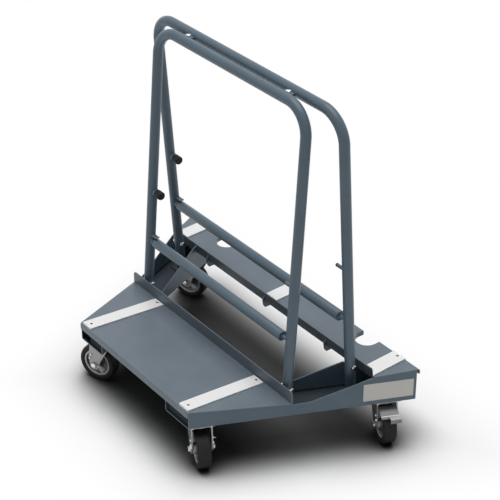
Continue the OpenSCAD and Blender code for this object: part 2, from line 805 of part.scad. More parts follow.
module caster_plate(name) {
    zinc() caster_frame(name) difference() {
        union() {
            translate([-plate_w / 2, -plate_l / 2, plate_z]) cube([plate_w, plate_l, plate_t]);
            translate([0, 0, plate_z - boss_h]) cylinder(d = boss_d, h = boss_h + eps);
        }
        rotate([0, 0, 90]) mount_holes();
        translate([0, 0, plate_z - boss_h - 1]) cylinder(d = kingpin_d, h = plate_t + boss_h + 2);
    }
}

module caster_bolts() {
    zinc() for (c = CASTERS) caster_frame(c[0]) for (x = [-1, 1], y = [-1, 1])
        translate([x * mount_pitch_w / 2, y * mount_pitch_l / 2, floor_z]) rotate([180, 0, 0])
            bolt(mount_bolt_d, plate_t + channel_t, mount_nut_h, 0.5);
}

module kingpins() {
    zinc() for (c = CASTERS) caster_frame(c[0]) {
        head_z = crown_z - kingpin_head_h;
        translate([0, 0, head_z]) cylinder(d = kingpin_d + 12, h = kingpin_head_h - plate_gap / 2);
        translate([0, 0, head_z + eps]) cylinder(d = kingpin_d, h = channel_z - 1 - head_z);
    }
}

// Ring between the plate and the fork's crown, which carries the balls
module ball_race(name) {
    zinc() caster_frame(name) difference() {
        union() {
            translate([0, 0, race_z]) cylinder(d = crown_d - 8, h = 2.5);
            translate([0, 0, race_z + 2.5 - eps]) cylinder(d = crown_d - 16, h = race_h - 2.5 - plate_gap);
        }
        translate([0, 0, race_z - 1]) cylinder(d = boss_d + 2 * plate_gap, h = race_h + 2);
    }
}

// Outline of a fork leg in the plane of the wheel, from the crown to below the axle
module leg_outline() {
    difference() {
        union() {
            polygon([[-crown_d / 2 + 6, crown_z + 1], [crown_d / 2 - 2, crown_z + 1],
                     [caster_trail + 25, wheel_r + 30], [caster_trail + 20, wheel_r],
                     [caster_trail - 20, wheel_r], [caster_trail - 28, wheel_r + 22],
                     [-crown_d / 2 + 6, crown_z - 14]]);
            translate([caster_trail, wheel_r]) circle(r = 20);
        }
        translate([caster_trail, wheel_r]) circle(d = axle_d + 2 * bolt_gap);
    }
}

module fork(name) {
    has_pedal = caster(name)[3];
    zinc() caster_frame(name) difference() {
        union() {
            translate([0, 0, crown_z]) cylinder(d = crown_d, h = crown_t);
            for (side = [-1, 1]) {
                translate([0, side * (fork_w / 2 - fork_t / 2), 0])
                    rotate([90, 0, 0]) linear_extrude(height = fork_t, center = true) leg_outline();
                for (p = fork_bolts)
                    translate([caster_trail + p[0], side * (fork_w / 2 - eps), wheel_r + p[1]])
                        rotate([-side * 90, 0, 0]) cylinder(d = 9, h = 4);
                // Pivot pin for the pedal's ear
                if (has_pedal)
                    translate([caster_trail + pivot[0], side * (fork_in + eps), wheel_r + pivot[1]])
                        rotate([side * 90, 0, 0])
                            cylinder(d = pivot_d - 2 * run_gap, h = fork_in - ear_in + 1.5);
            }
            translate([-crown_d / 2 + 6, -fork_w / 2, crown_z]) cube([crown_d - 8, fork_w, crown_t]);
        }
        translate([0, 0, crown_z - 1]) cylinder(d = kingpin_d + 2 * run_gap, h = crown_t + 2);
    }
}

// Axle bolt, its nut outside the side lever, and the bushing that the wheel turns on
module axle(name) {
    head_y = -fork_w / 2 - axle_head_h;
    across = 19;
    zinc() caster_frame(name) translate([caster_trail, 0, wheel_r]) rotate([-90, 0, 0]) {
        translate([0, 0, head_y]) hex(across, axle_head_h);
        translate([0, 0, nut_y]) hex(across, axle_nut_h);
        translate([0, 0, head_y + eps]) cylinder(d = axle_d, h = nut_y + axle_nut_h + 1 - head_y);
        translate([0, 0, -fork_in]) cylinder(d = bushing_d, h = 2 * fork_in);
    }
}

// Wheel centre: hub, web and rim with a shallow dish on each side
module rim(name) {
    bore = bushing_d + 2 * run_gap;
    hw = hub_w / 2;
    rim_grey() caster_frame(name) translate([caster_trail, 0, wheel_r]) rotate([90, 0, 0])
        rotate_extrude($fn = 96)
            polygon([[bore / 2, -hw], [bore / 2, hw], [21, hw], [23, tyre_w / 2 - 14],
                     [rim_d / 2 - 12, tyre_w / 2 - 14], [rim_d / 2 - 7, tyre_w / 2 - 3],
                     [rim_d / 2, tyre_w / 2 - 3], [rim_d / 2, 3 - tyre_w / 2],
                     [rim_d / 2 - 7, 3 - tyre_w / 2], [rim_d / 2 - 12, 14 - tyre_w / 2],
                     [23, 14 - tyre_w / 2], [21, -hw]]);
}

module tyre(name) {
    shoulder = 5;
    h = tyre_w / 2;
    black_rubber() caster_frame(name) translate([caster_trail, 0, wheel_r]) rotate([90, 0, 0])
        rotate_extrude($fn = 96)
            polygon([[rim_d / 2, 4 - h], [rim_d / 2 + 3, 1 - h], [wheel_r - 12, -h],
                     [wheel_r - shoulder, 1 - h], [wheel_r - 1.5, 4 - h], [wheel_r, 10 - h],
                     [wheel_r, h - 10], [wheel_r - 1.5, h - 4], [wheel_r - shoulder, h - 1],
                     [wheel_r - 12, h], [rim_d / 2 + 3, h - 1], [rim_d / 2, h - 4]]);
}

// Brakes

// Lever on the axle beside the fork's leg, with a tab for the foot that slopes down
module side_lever(name) {
    zinc() caster_frame(name) translate([caster_trail, lever_y, wheel_r]) difference() {
        union() {
            rotate([-90, 0, 0]) cylinder(r = 12, h = lever_t);
            translate([-lever_arm, 0, -6]) cube([lever_arm, lever_t, 12]);
            translate([-lever_arm, 0, 0]) rotate([0, -40, 0])
                translate([-lever_tab / 2, 0, -lever_t / 2]) cube([lever_tab, lever_tab, lever_t]);
        }
        translate([0, -1, 0]) rotate([-90, 0, 0]) cylinder(d = axle_d + 2 * run_gap, h = lever_t + 2);
    }
}

// Brake pedal: a cover over the outer side of the tyre, on two ears inside the fork
module sector(r, a0, a1) {
    polygon(concat([[0, 0]], [for (k = [0:8]) let (a = a0 + (a1 - a0) * k / 8) 1.2 * r * [cos(a), sin(a)]]));
}
module cover_outline() {
    intersection() {
        difference() {
            circle(r = cover_r + pedal_t, $fn = 96);
            circle(r = cover_r, $fn = 96);
        }
        sector(cover_r, 43, 78);
    }
}
module ear_outline() {
    r = cover_r + pedal_t / 2;
    translate(pivot) circle(r = ear_r);
    polygon(concat([pivot + [-4, 6.5], pivot + [4, -6.5]], [for (a = [47:7:75]) r * [cos(a), sin(a)]]));
}
module brake_pedal(name) {
    edge = cover_r * [cos(47.5), sin(47.5)];
    turn_down = 14;
    zinc() caster_frame(name) translate([caster_trail, 0, wheel_r]) difference() {
        union() {
            rotate([90, 0, 0]) linear_extrude(height = 2 * ear_out, center = true) cover_outline();
            // Ears from the cover to the pivots
            for (side = [-1, 1])
                translate([0, side * (ear_out - pedal_t / 2), 0]) rotate([90, 0, 0])
                    linear_extrude(height = pedal_t, center = true) ear_outline();
            // Tongue with a turned-down end
            translate([edge[0] - 2, fork_in + 2 - tongue_w, edge[1] + 1]) {
                cube([tongue_l + 2, tongue_w, pedal_t]);
                translate([tongue_l + 2 - pedal_t, 0, -turn_down])
                    cube([pedal_t, tongue_w, turn_down + 1]);
            }
        }
        translate([pivot[0], ear_out + 1, pivot[1]]) rotate([90, 0, 0])
            cylinder(d = pivot_d, h = 2 * ear_out + 2);
    }
}

module front_right_caster_plate() { caster_plate("front_right"); }
module front_left_caster_plate() { caster_plate("front_left"); }
module rear_right_caster_plate() { caster_plate("rear_right"); }
module rear_left_caster_plate() { caster_plate("rear_left"); }
module front_right_fork() { fork("front_right"); }
module front_left_fork() { fork("front_left"); }
module rear_right_fork() { fork("rear_right"); }
module rear_left_fork() { fork("rear_left"); }
module front_right_ball_race() { ball_race("front_right"); }
module front_left_ball_race() { ball_race("front_left"); }
module rear_right_ball_race() { ball_race("rear_right"); }
module rear_left_ball_race() { ball_race("rear_left"); }
module front_right_axle() { axle("front_right"); }
module front_left_axle() { axle("front_left"); }
module rear_right_axle() { axle("rear_right"); }
module rear_left_axle() { axle("rear_left"); }
module front_right_rim() { rim("front_right"); }
module front_left_rim() { rim("front_left"); }
module rear_right_rim() { rim("rear_right"); }
module rear_left_rim() { rim("rear_left"); }
module front_right_tyre() { tyre("front_right"); }
module front_left_tyre() { tyre("front_left"); }
module rear_right_tyre() { tyre("rear_right"); }
module rear_left_tyre() { tyre("rear_left"); }
module front_right_side_lever() { side_lever("front_right"); }
module front_left_side_lever() { side_lever("front_left"); }
module rear_right_side_lever() { side_lever("rear_right"); }
module rear_left_side_lever() { side_lever("rear_left"); }
module rear_right_brake_pedal() { brake_pedal("rear_right"); }
module rear_left_brake_pedal() { brake_pedal("rear_left"); }

right_end_channel();
left_end_channel();
front_deck();
rear_deck();
deck_ribs();
front_wear_strips();
rear_wear_strips();
strip_screws();
label_plate();
front_hoop();
rear_hoop();
front_hoop_feet();
rear_hoop_feet();
foot_bolts();
front_top_ties();
rear_top_ties();
top_tie_bolts();
bar_stubs();
stub_caps();
bar_pins();
pin_tips();
front_cross_bar();
rear_cross_bar();
bar_end_plugs_front();
bar_end_plugs_rear();
caster_bolts();
kingpins();
front_right_caster_plate();
front_left_caster_plate();
rear_right_caster_plate();
rear_left_caster_plate();
front_right_fork();
front_left_fork();
rear_right_fork();
rear_left_fork();
front_right_ball_race();
front_left_ball_race();
rear_right_ball_race();
rear_left_ball_race();
front_right_axle();
front_left_axle();
rear_right_axle();
rear_left_axle();
front_right_rim();
front_left_rim();
rear_right_rim();
rear_left_rim();
front_right_tyre();
front_left_tyre();
rear_right_tyre();
rear_left_tyre();
front_right_side_lever();
front_left_side_lever();
rear_right_side_lever();
rear_left_side_lever();
rear_right_brake_pedal();
rear_left_brake_pedal();
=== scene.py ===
import json
import math
from collections import namedtuple

import bmesh
import bpy
import numpy as np
from mathutils import Matrix, Vector

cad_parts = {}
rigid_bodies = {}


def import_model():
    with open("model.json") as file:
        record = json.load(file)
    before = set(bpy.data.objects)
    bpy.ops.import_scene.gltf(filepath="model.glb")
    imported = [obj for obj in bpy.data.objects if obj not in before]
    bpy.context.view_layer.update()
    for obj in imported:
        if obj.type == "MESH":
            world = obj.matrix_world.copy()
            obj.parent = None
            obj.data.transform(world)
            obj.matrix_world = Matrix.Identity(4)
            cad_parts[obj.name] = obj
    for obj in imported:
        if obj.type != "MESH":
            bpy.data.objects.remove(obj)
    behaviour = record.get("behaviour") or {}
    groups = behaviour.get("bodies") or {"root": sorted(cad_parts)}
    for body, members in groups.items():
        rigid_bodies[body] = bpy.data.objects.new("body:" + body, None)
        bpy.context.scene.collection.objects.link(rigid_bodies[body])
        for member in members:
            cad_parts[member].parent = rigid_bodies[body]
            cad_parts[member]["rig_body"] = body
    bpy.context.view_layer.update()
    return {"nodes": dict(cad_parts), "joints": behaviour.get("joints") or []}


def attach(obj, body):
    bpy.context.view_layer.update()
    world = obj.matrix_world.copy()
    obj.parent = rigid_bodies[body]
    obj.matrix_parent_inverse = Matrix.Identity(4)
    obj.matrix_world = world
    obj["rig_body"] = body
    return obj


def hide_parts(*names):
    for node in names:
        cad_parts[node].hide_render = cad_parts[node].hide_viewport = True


bl_info = {
    "name": "Drywall cart",
    "version": (1, 0, 0),
    "blender": (4, 5, 0),
    "location": "3D View > Sidebar > Cart",
    "description": "Dresses a welded cart for plasterboard: metalwork, casters, finishes and studio",
    "category": "Object",
}

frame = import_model()
JOINTS = {joint["name"]: joint for joint in frame["joints"]}
CASTERS = ("front_right", "front_left", "rear_right", "rear_left")
SIDES = (-1, 1)

# Overall sizes, in metres, as the frame was built
CART_DEPTH = 0.762
FRONT_LENGTH = 0.702
REAR_LENGTH = 1.386
CASTER_HEIGHT = 0.1905
HOOP_HEIGHT = 1.317

# Sheet metal
DECK_T = 0.004
CHANNEL_T = 0.004
CHANNEL_W = 0.132
MOUTH_BACK = 0.008
FRONT_OUTER_Z = 0.263
FRONT_INNER_Z = 0.242
FRONT_DECK_W = 0.342
FRONT_LIP_H = 0.026
FRONT_FLANGE_H = 0.049
REAR_OUTER_Z = 0.321
REAR_INNER_Z = 0.313
REAR_DECK_W = 0.130
REAR_CORNER_REACH = 0.027
REAR_CORNER_RUN = 0.036
REAR_FLANGE_H = 0.036
CORNER_FLANGE_T = 0.003
DECK_CORNER_R = 0.010
LIP_END_R = 0.006
FLANGE_END_R = 0.014
FRONT_STITCHES = (0.09, 0.20, 0.29)
REAR_STITCHES = (0.03, 0.08)
STITCH_L = 0.032

# Wear strips
FRONT_STRIP_W = 0.056
FRONT_STRIP_X = 0.317
REAR_STRIP_X = 0.587
STRIP_T = 0.005
STRIP_SCREW_D = 0.009
STRIP_EDGE = 0.0012

# Hoops, feet and cross bars
TUBE_D = 0.0381
TUBE_WALL = 0.0025
BEND_R = 0.102
FRONT_FOOT_IN = 0.0725
FRONT_FOOT_BACK = 0.020
FRONT_LEAN_IN = 0.013
REAR_FOOT_IN = 0.0817
REAR_FOOT_AHEAD = 0.049
REAR_LEAN_OUT = 0.005
TOP_SPACING = 0.060
TOP_SHIFT = 0.0015
FOOT_PLATE_W = 0.084
FOOT_PLATE_T = 0.005
FOOT_PLATE_AHEAD = 0.026
FOOT_PLATE_BEHIND = 0.034
FOOT_BOLT_D = 0.010
STUB_RISE = 0.210
BAR_LEFT_GAP = 0.018
BAR_RIGHT_GAP = 0.027
PIN_D = 0.013
PIN_ENGAGE = 0.013
PIN_TIP_L = 0.008
STUB_NECK = 0.012
STUB_STEP = 0.0025
STUB_CAP_L = 0.032
STUB_CAP_T = 0.006
PLUG_T = 0.006
PLUG_IN = 0.002
SLIDE_GAP = 0.0004
TIE_X = 0.287
TIE_L = 0.044
TIE_T = 0.005
TIE_BOLT_D = 0.010

# Casters
WHEEL_D = 0.1524
TYRE_W = 0.050
TYRE_T = 0.021
CASTER_TRAIL = 0.024
PLATE_L = 0.102
PLATE_W = 0.114
PLATE_T = 0.006
PLATE_CORNER_R = 0.009
FORK_W = 0.078
FORK_T = 0.005
AXLE_D = 0.0127
AXLE_ACROSS = 0.019
AXLE_HEAD_H = 0.0085
AXLE_NUT_H = 0.0055
BUSHING_D = 0.020
KINGPIN_D = 0.016
KINGPIN_HEAD_H = 0.006
KINGPIN_HEAD_OUT = 0.006
MOUNT_BOLT_D = 0.010
MOUNT_NUT_H = 0.0055
MOUNT_PITCH_L = 0.067
MOUNT_PITCH_W = 0.088
RACE_H = 0.008
CROWN_T = 0.006
CROWN_D = 0.084
BOSS_D = 0.044
LEVER_T = 0.003
LEVER_TAB = 0.021
LEVER_ARM = 0.042
LEVER_SLOPE = math.radians(40)
FORK_BOLTS = ((0.012, 0.045), (0.018, 0.028))
FORK_BOLT_D = 0.009
FORK_BOLT_H = 0.004
PEDAL_T = 0.003
PEDAL_GAP = 0.008
PEDAL_EDGE = math.radians(47.5)
PLATE_GAP = 0.0005

# The shadow painted into the floor's colour: how far its middle lies behind the cart's, where it fades out
# from dark and into white on both sides of the cart's outline, and how far a point of the floor looks for
# things above it
SHADE_BACK = 0.05
SHADE_FADE = (-0.16, 0.12)
WHITE_FADE = (0.0, 0.40)
SKY_REACH = 0.36

# Derived sizes and places
FLARE = math.atan((REAR_LENGTH - FRONT_LENGTH) / 2 / CART_DEPTH)
FRONT_Y = -CART_DEPTH / 2
REAR_Y = CART_DEPTH / 2
FLOOR_Z = CASTER_HEIGHT + CHANNEL_T
MOUTH_Y = FRONT_Y + DECK_T + MOUTH_BACK
FRONT_INNER_Y = FRONT_Y + FRONT_DECK_W
REAR_INNER_Y = REAR_Y - REAR_DECK_W
REAR_CORNER_Y = REAR_INNER_Y - REAR_CORNER_REACH
FRONT_SCREW_Y = (FRONT_Y + 0.028, FRONT_INNER_Y - 0.020)
REAR_SCREW_Y = REAR_Y - 0.014
FRONT_STRIP_Y = (FRONT_Y + 0.006, FRONT_INNER_Y - DECK_T - 0.004)
TUBE_R = TUBE_D / 2
TUBE_BORE_R = TUBE_R - TUBE_WALL
WHEEL_R = WHEEL_D / 2
RIM_R = WHEEL_R - TYRE_T
PLATE_Z = CASTER_HEIGHT - PLATE_T
RACE_Z = PLATE_Z - RACE_H
CROWN_Z = RACE_Z - CROWN_T
FORK_IN = FORK_W / 2 - FORK_T
LEVER_Y = FORK_W / 2 + PLATE_GAP
NUT_Y = LEVER_Y + LEVER_T + PLATE_GAP
TONGUE_Z = WHEEL_R + (WHEEL_R + PEDAL_GAP) * math.sin(PEDAL_EDGE) + 0.001 + PEDAL_T
X_AXIS, Y_AXIS, Z_AXIS = Vector((1, 0, 0)), Vector((0, 1, 0)), Vector((0, 0, 1))


def half_length(y):
    """Half the cart's length at y: it grows evenly from the front edge to the rear edge."""
    return FRONT_LENGTH / 2 + (y - FRONT_Y) * math.tan(FLARE)


def front_z(y):
    """Height of the front deck's top, which falls towards its inner edge."""
    return FRONT_OUTER_Z + (y - FRONT_Y) * (FRONT_INNER_Z - FRONT_OUTER_Z) / FRONT_DECK_W


def rear_z(y):
    """Height of the rear deck's top, which falls towards its inner edge."""
    return REAR_INNER_Z + (y - REAR_INNER_Y) * (REAR_OUTER_Z - REAR_INNER_Z) / REAR_DECK_W


Hoop = namedtuple("Hoop", "foot_x top_x foot_y top_y bar_z bolt_z")
FRONT_FOOT_Y = FRONT_INNER_Y + FRONT_FOOT_BACK
REAR_FOOT_Y = REAR_INNER_Y - REAR_FOOT_AHEAD
TIE_Y = (FRONT_FOOT_Y + REAR_FOOT_Y) / 2 + TOP_SHIFT
FRONT_FOOT_X = half_length(FRONT_FOOT_Y) - FRONT_FOOT_IN
REAR_FOOT_X = half_length(REAR_FOOT_Y) - REAR_FOOT_IN
HOOPS = {
    "front": Hoop(foot_x=FRONT_FOOT_X, top_x=FRONT_FOOT_X - FRONT_LEAN_IN,
                  foot_y=FRONT_FOOT_Y, top_y=TIE_Y - TOP_SPACING / 2, bar_z=0.452, bolt_z=0.264),
    "rear": Hoop(foot_x=REAR_FOOT_X, top_x=REAR_FOOT_X + REAR_LEAN_OUT,
                 foot_y=REAR_FOOT_Y, top_y=TIE_Y + TOP_SPACING / 2, bar_z=0.515, bolt_z=0.326),
}


class CartSizes(bpy.types.PropertyGroup):
    """Sizes of the finish: bends, softened edges, weld beads and how finely round things are drawn."""

    bend: bpy.props.FloatProperty(
        name="Bend", description="Outer radius where sheet metal is folded",
        default=0.006, min=0.001, max=0.012, unit="LENGTH", subtype="DISTANCE")
    edge: bpy.props.FloatProperty(
        name="Edge", description="Radius that takes the sharpness off cut edges",
        default=0.0008, min=0.0002, max=0.002, unit="LENGTH", subtype="DISTANCE")
    bead: bpy.props.FloatProperty(
        name="Weld bead", description="Radius of a weld bead",
        default=0.0028, min=0.001, max=0.005, unit="LENGTH", subtype="DISTANCE")
    ripple: bpy.props.FloatProperty(
        name="Weld ripple", description="Distance between the ripples of a weld bead",
        default=0.0026, min=0.001, max=0.006, unit="LENGTH", subtype="DISTANCE")
    tube_sides: bpy.props.IntProperty(
        name="Tube sides", description="Faces around a tube", default=64, min=16, max=128)
    wheel_steps: bpy.props.IntProperty(
        name="Wheel steps", description="Faces around a wheel", default=144, min=48, max=256)


class CartColours(bpy.types.PropertyGroup):
    """Colours of the finishes, as linear red, green and blue."""

    paint: bpy.props.FloatVectorProperty(
        name="Frame paint", description="Blue-grey enamel of the frame",
        default=(0.102, 0.147, 0.187), min=0, max=1, size=3, subtype="COLOR")
    # Painted light: the decks share the frame's paint, and this lighter copy of its colour stands for their
    # lit tops
    deck: bpy.props.FloatVectorProperty(
        name="Deck paint", description="Blue-grey enamel of the decks",
        default=(0.146, 0.180, 0.212), min=0, max=1, size=3, subtype="COLOR")
    strip: bpy.props.FloatVectorProperty(
        name="Wear strip", description="White plastic of the wear strips",
        default=(0.86, 0.86, 0.855), min=0, max=1, size=3, subtype="COLOR")
    zinc: bpy.props.FloatVectorProperty(
        name="Zinc", description="Dull plating of the casters' plates, races and forks",
        default=(0.33, 0.33, 0.327), min=0, max=1, size=3, subtype="COLOR")
    bright: bpy.props.FloatVectorProperty(
        name="Bright plating", description="Shiny plating of the bolts and nuts",
        default=(0.82, 0.82, 0.81), min=0, max=1, size=3, subtype="COLOR")
    pedal: bpy.props.FloatVectorProperty(
        name="Pedal plate", description="Dull steel of the brake pedals",
        default=(0.20, 0.20, 0.205), min=0, max=1, size=3, subtype="COLOR")
    rim: bpy.props.FloatVectorProperty(
        name="Wheel centre", description="Cast metal of the wheel centres",
        default=(0.40, 0.405, 0.41), min=0, max=1, size=3, subtype="COLOR")
    tyre: bpy.props.FloatVectorProperty(
        name="Tyre", description="Black rubber of the tyres",
        default=(0.010, 0.010, 0.0105), min=0, max=1, size=3, subtype="COLOR")
    cap: bpy.props.FloatVectorProperty(
        name="Caps", description="Black rubber of the stub caps and pin tips",
        default=(0.009, 0.010, 0.012), min=0, max=1, size=3, subtype="COLOR")
    screw: bpy.props.FloatVectorProperty(
        name="Strip screws", description="Blackened steel of the wear strips' screws",
        default=(0.016, 0.016, 0.018), min=0, max=1, size=3, subtype="COLOR")
    label: bpy.props.FloatVectorProperty(
        name="End plate", description="Satin metal of the bare plate on the right end",
        default=(0.50, 0.49, 0.47), min=0, max=1, size=3, subtype="COLOR")


# Surfaces: every function gives a grid of points, rows by columns by three

def rounded(corners, radius, steps=5, closed=True):
    """Each corner of a line becomes an arc of that radius which touches both sides.

    The arc's centre lies on the corner's bisector, at radius over the sine of half the corner's angle,
    and the arc's points turn evenly from one touching point to the other. Where a side is too short,
    the arc is smaller."""
    corners = np.asarray(corners, float)
    radii = np.broadcast_to(radius, len(corners))
    share = np.linspace(0, 1, steps + 1)[:, None]
    line = []
    for index, here in enumerate(corners):
        at_end = not closed and index in (0, len(corners) - 1)
        if at_end or radii[index] <= 0:
            line.append(here[None])
            continue
        back, on = corners[index - 1] - here, corners[(index + 1) % len(corners)] - here
        back_l, on_l = np.linalg.norm(back), np.linalg.norm(on)
        back, on = back / back_l, on / on_l
        half = math.acos(np.clip(back @ on, -1, 1)) / 2
        if half > math.radians(89.5):
            line.append(here[None])
            continue
        reach = min(radii[index] / math.tan(half), 0.48 * back_l, 0.48 * on_l)
        middle = (back + on) / np.linalg.norm(back + on)
        centre = here + middle * reach / math.cos(half)
        start, end = here + back * reach - centre, here + on * reach - centre
        turn = math.pi - 2 * half
        arc = (np.sin((1 - share) * turn) * start + np.sin(share * turn) * end) / math.sin(turn)
        line.append(centre + arc)
    return np.concatenate(line)


def circle(radius, sides):
    """An outline of points at equal angles and one distance from the middle."""
    angle = np.arange(sides) * 2 * math.pi / sides
    return radius * np.stack([np.cos(angle), np.sin(angle)], -1)


def revolved(profile, steps):
    """Each profile point (r, h) goes round the Z axis: r cos a, r sin a, h."""
    profile = np.asarray(profile, float)
    angle = np.arange(steps) * 2 * math.pi / steps
    r, h = profile[:, :1], profile[:, 1:]
    return np.stack([r * np.cos(angle), r * np.sin(angle), h + 0 * angle], -1)


def carried(path, flat, outline, closed=False):
    """An outline is carried along a path.

    At each point the outline's first axis is the tangent crossed with the flat direction, and its
    second axis is the first crossed with the tangent. The outline may have its own shape at each point."""
    path, flat = np.asarray(path, float), np.asarray(flat, float)
    if closed:
        tangent = np.roll(path, -1, 0) - np.roll(path, 1, 0)
    else:
        tangent = np.gradient(path, axis=0)
    tangent /= np.linalg.norm(tangent, axis=1, keepdims=True)
    across = np.cross(tangent, flat)
    across /= np.linalg.norm(across, axis=1, keepdims=True)
    up = np.cross(across, tangent)
    outline = np.broadcast_to(outline, (len(path),) + np.shape(outline)[-2:])
    return path[:, None] + outline[..., :1] * across[:, None] + outline[..., 1:] * up[:, None]


def placed(points, matrix):
    """The points after a 4 by 4 matrix: turned by its first three columns and moved by its last."""
    matrix = np.array(matrix, float)
    return points @ matrix[:3, :3].T + matrix[:3, 3]


def along(start, direction, flat):
    """A matrix whose Z axis points along a direction from a start point, and whose X axis is near flat."""
    z = Vector(direction).normalized()
    y = z.cross(Vector(flat)).normalized()
    x = y.cross(z)
    return Matrix.Translation(start) @ Matrix((x, y, z)).transposed().to_4x4()


class Shell:
    """Gathers grids of points and makes one mesh of them."""

    def __init__(self):
        self.points = []
        self.faces = []
        self.count = 0

    def grid(self, points, round_rows=False, round_columns=True, caps=False):
        """Adds a grid as four-sided faces; caps closes its first and last rows with one face each."""
        rows, columns = points.shape[:2]
        index = self.count + np.arange(rows * columns).reshape(rows, columns)
        first, last = index[0], index[-1]
        if round_rows:
            index = np.vstack([index, index[:1]])
        if round_columns:
            index = np.hstack([index, index[:, :1]])
        corners = [index[:-1, :-1], index[1:, :-1], index[1:, 1:], index[:-1, 1:]]
        self.faces += np.stack(corners, -1).reshape(-1, 4).tolist()
        if caps:
            self.faces += [first.tolist(), last[::-1].tolist()]
        self.points.append(points.reshape(-1, 3))
        self.count += rows * columns
        return self

    def piece(self, name, finish, body="root", stands_for=(), sharp=35, axle=None):
        """Makes the mesh, merges its doubles, turns its faces outwards and lets it ride on a body.

        With an axle, each point keeps its distance from it for the shading."""
        mesh = bpy.data.meshes.new(name)
        mesh.from_pydata(np.concatenate(self.points).tolist(), [], self.faces)
        work = bmesh.new()
        work.from_mesh(mesh)
        bmesh.ops.remove_doubles(work, verts=work.verts, dist=1e-6)
        bmesh.ops.dissolve_degenerate(work, edges=work.edges, dist=1e-6)
        bmesh.ops.recalc_face_normals(work, faces=work.faces)
        work.to_mesh(mesh)
        work.free()
        if axle is not None:
            store_radius(mesh, axle)
        return finished(name, mesh, finish, body, stands_for, sharp)


def store_radius(mesh, axle):
    """Every point's distance from the Z axis of a matrix, kept as the attribute that wheels are shaded by."""
    points = np.array([v.co for v in mesh.vertices])
    local = placed(points, axle.inverted())
    radius = mesh.attributes.new("radius", "FLOAT", "POINT")
    radius.data.foreach_set("value", np.hypot(local[:, 0], local[:, 1]).astype(np.float32))


def finished(name, mesh, finish, body, stands_for=(), sharp=35):
    """Links a mesh as a piece with its finish, its body and the nodes that it stands for."""
    mesh.shade_smooth()
    mesh.set_sharp_from_angle(angle=math.radians(sharp))
    mesh.materials.clear()
    mesh.materials.append(material(finish))
    piece = bpy.data.objects.new(name, mesh)
    bpy.context.scene.collection.objects.link(piece)
    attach(piece, body)
    if stands_for:
        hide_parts(*stands_for)
    return piece


def on_line(edge, point, direction):
    """Whether both ends of an edge lie within a third of a millimetre of a line."""
    reach = 0.0003
    return all((v.co - point).cross(direction).length < reach for v in edge.verts)


def formed(node, finish, folds=(), edge=None, steps=6):
    """A merged copy of a node, with a true radius at each fold and softened edges, stands for it.

    Each fold is a point and a direction on the fold's line, and a radius: the corner there becomes an
    arc that touches both faces. All other corners get the small edge radius."""
    source = frame["nodes"][node]
    work = bmesh.new()
    work.from_mesh(source.data)
    bmesh.ops.remove_doubles(work, verts=work.verts, dist=2e-6)
    bmesh.ops.dissolve_limit(work, angle_limit=math.radians(0.5), verts=work.verts, edges=work.edges)
    for point, direction, radius in folds:
        direction = Vector(direction).normalized()
        picked = [e for e in work.edges if on_line(e, Vector(point), direction)]
        if picked:
            bmesh.ops.bevel(work, geom=picked, offset=radius, offset_type="OFFSET", segments=steps,
                            profile=0.5, affect="EDGES", clamp_overlap=True)
    bmesh.ops.recalc_face_normals(work, faces=work.faces)
    mesh = bpy.data.meshes.new(node + "_formed")
    work.to_mesh(mesh)
    work.free()
    piece = finished(node + "_formed", mesh, finish, source["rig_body"], (node,))
    soften(piece, edge)
    return piece


def soften(piece, edge=None):
    """Live modifiers that round every sharp corner and keep the flat faces flat."""
    bevel = piece.modifiers.new("edge", "BEVEL")
    bevel.width = edge or bpy.context.scene.cart_sizes.edge
    bevel.segments = 2
    bevel.limit_method = "ANGLE"
    bevel.angle_limit = math.radians(38)
    normals = piece.modifiers.new("flat", "WEIGHTED_NORMAL")
    normals.keep_sharp = False
    normals.weight = 80


def hexagon(shell, matrix, across, height, steps=36):
    """A hexagon's block along Z from 0 to its height, with a round face and a 30 degree chamfer on top.

    At angle a the side lies at half the width over the cosine of a's distance from the nearest flat, and
    the chamfer falls from the round face by the tangent of 30 degrees times the distance beyond it."""
    angle = np.arange(steps) * 2 * math.pi / steps
    side = across / 2 / np.cos((angle + math.pi / 6) % (math.pi / 3) - math.pi / 6)
    face = np.full(steps, 0.94 * across / 2)
    drop = height - (side - face) * math.tan(math.radians(30))
    full = np.full(steps, float(height))
    rows = [(0 * side, full), (face, full), (side, drop), (side, 0 * side), (0 * side, 0 * side)]
    points = [np.stack([r * np.cos(angle), r * np.sin(angle), z], -1) for r, z in rows]
    shell.grid(placed(np.stack(points), matrix))


def threaded_end(shell, matrix, radius, length, pitch, sides=24):
    """A thread along Z: the radius falls and rises by a third of the pitch as a triangle wave of
    height over pitch less the turn, and a cone closes the end."""
    rows = max(4, int(length / pitch * 6))
    z = np.linspace(0, length, rows)[:, None]
    angle = np.arange(sides) * 2 * math.pi / sides
    wave = np.abs(((z / pitch - angle / (2 * math.pi)) % 1) - 0.5) * 2
    r = radius - wave * pitch * 0.33
    body = np.stack([r * np.cos(angle), r * np.sin(angle), z + 0 * angle], -1)
    tip = revolved([(radius - 0.5 * pitch, length + 0.3 * pitch), (0, length + 0.3 * pitch)], sides)
    foot = revolved([(0, 0)], sides)
    shell.grid(placed(np.concatenate([foot, body, tip]), matrix))


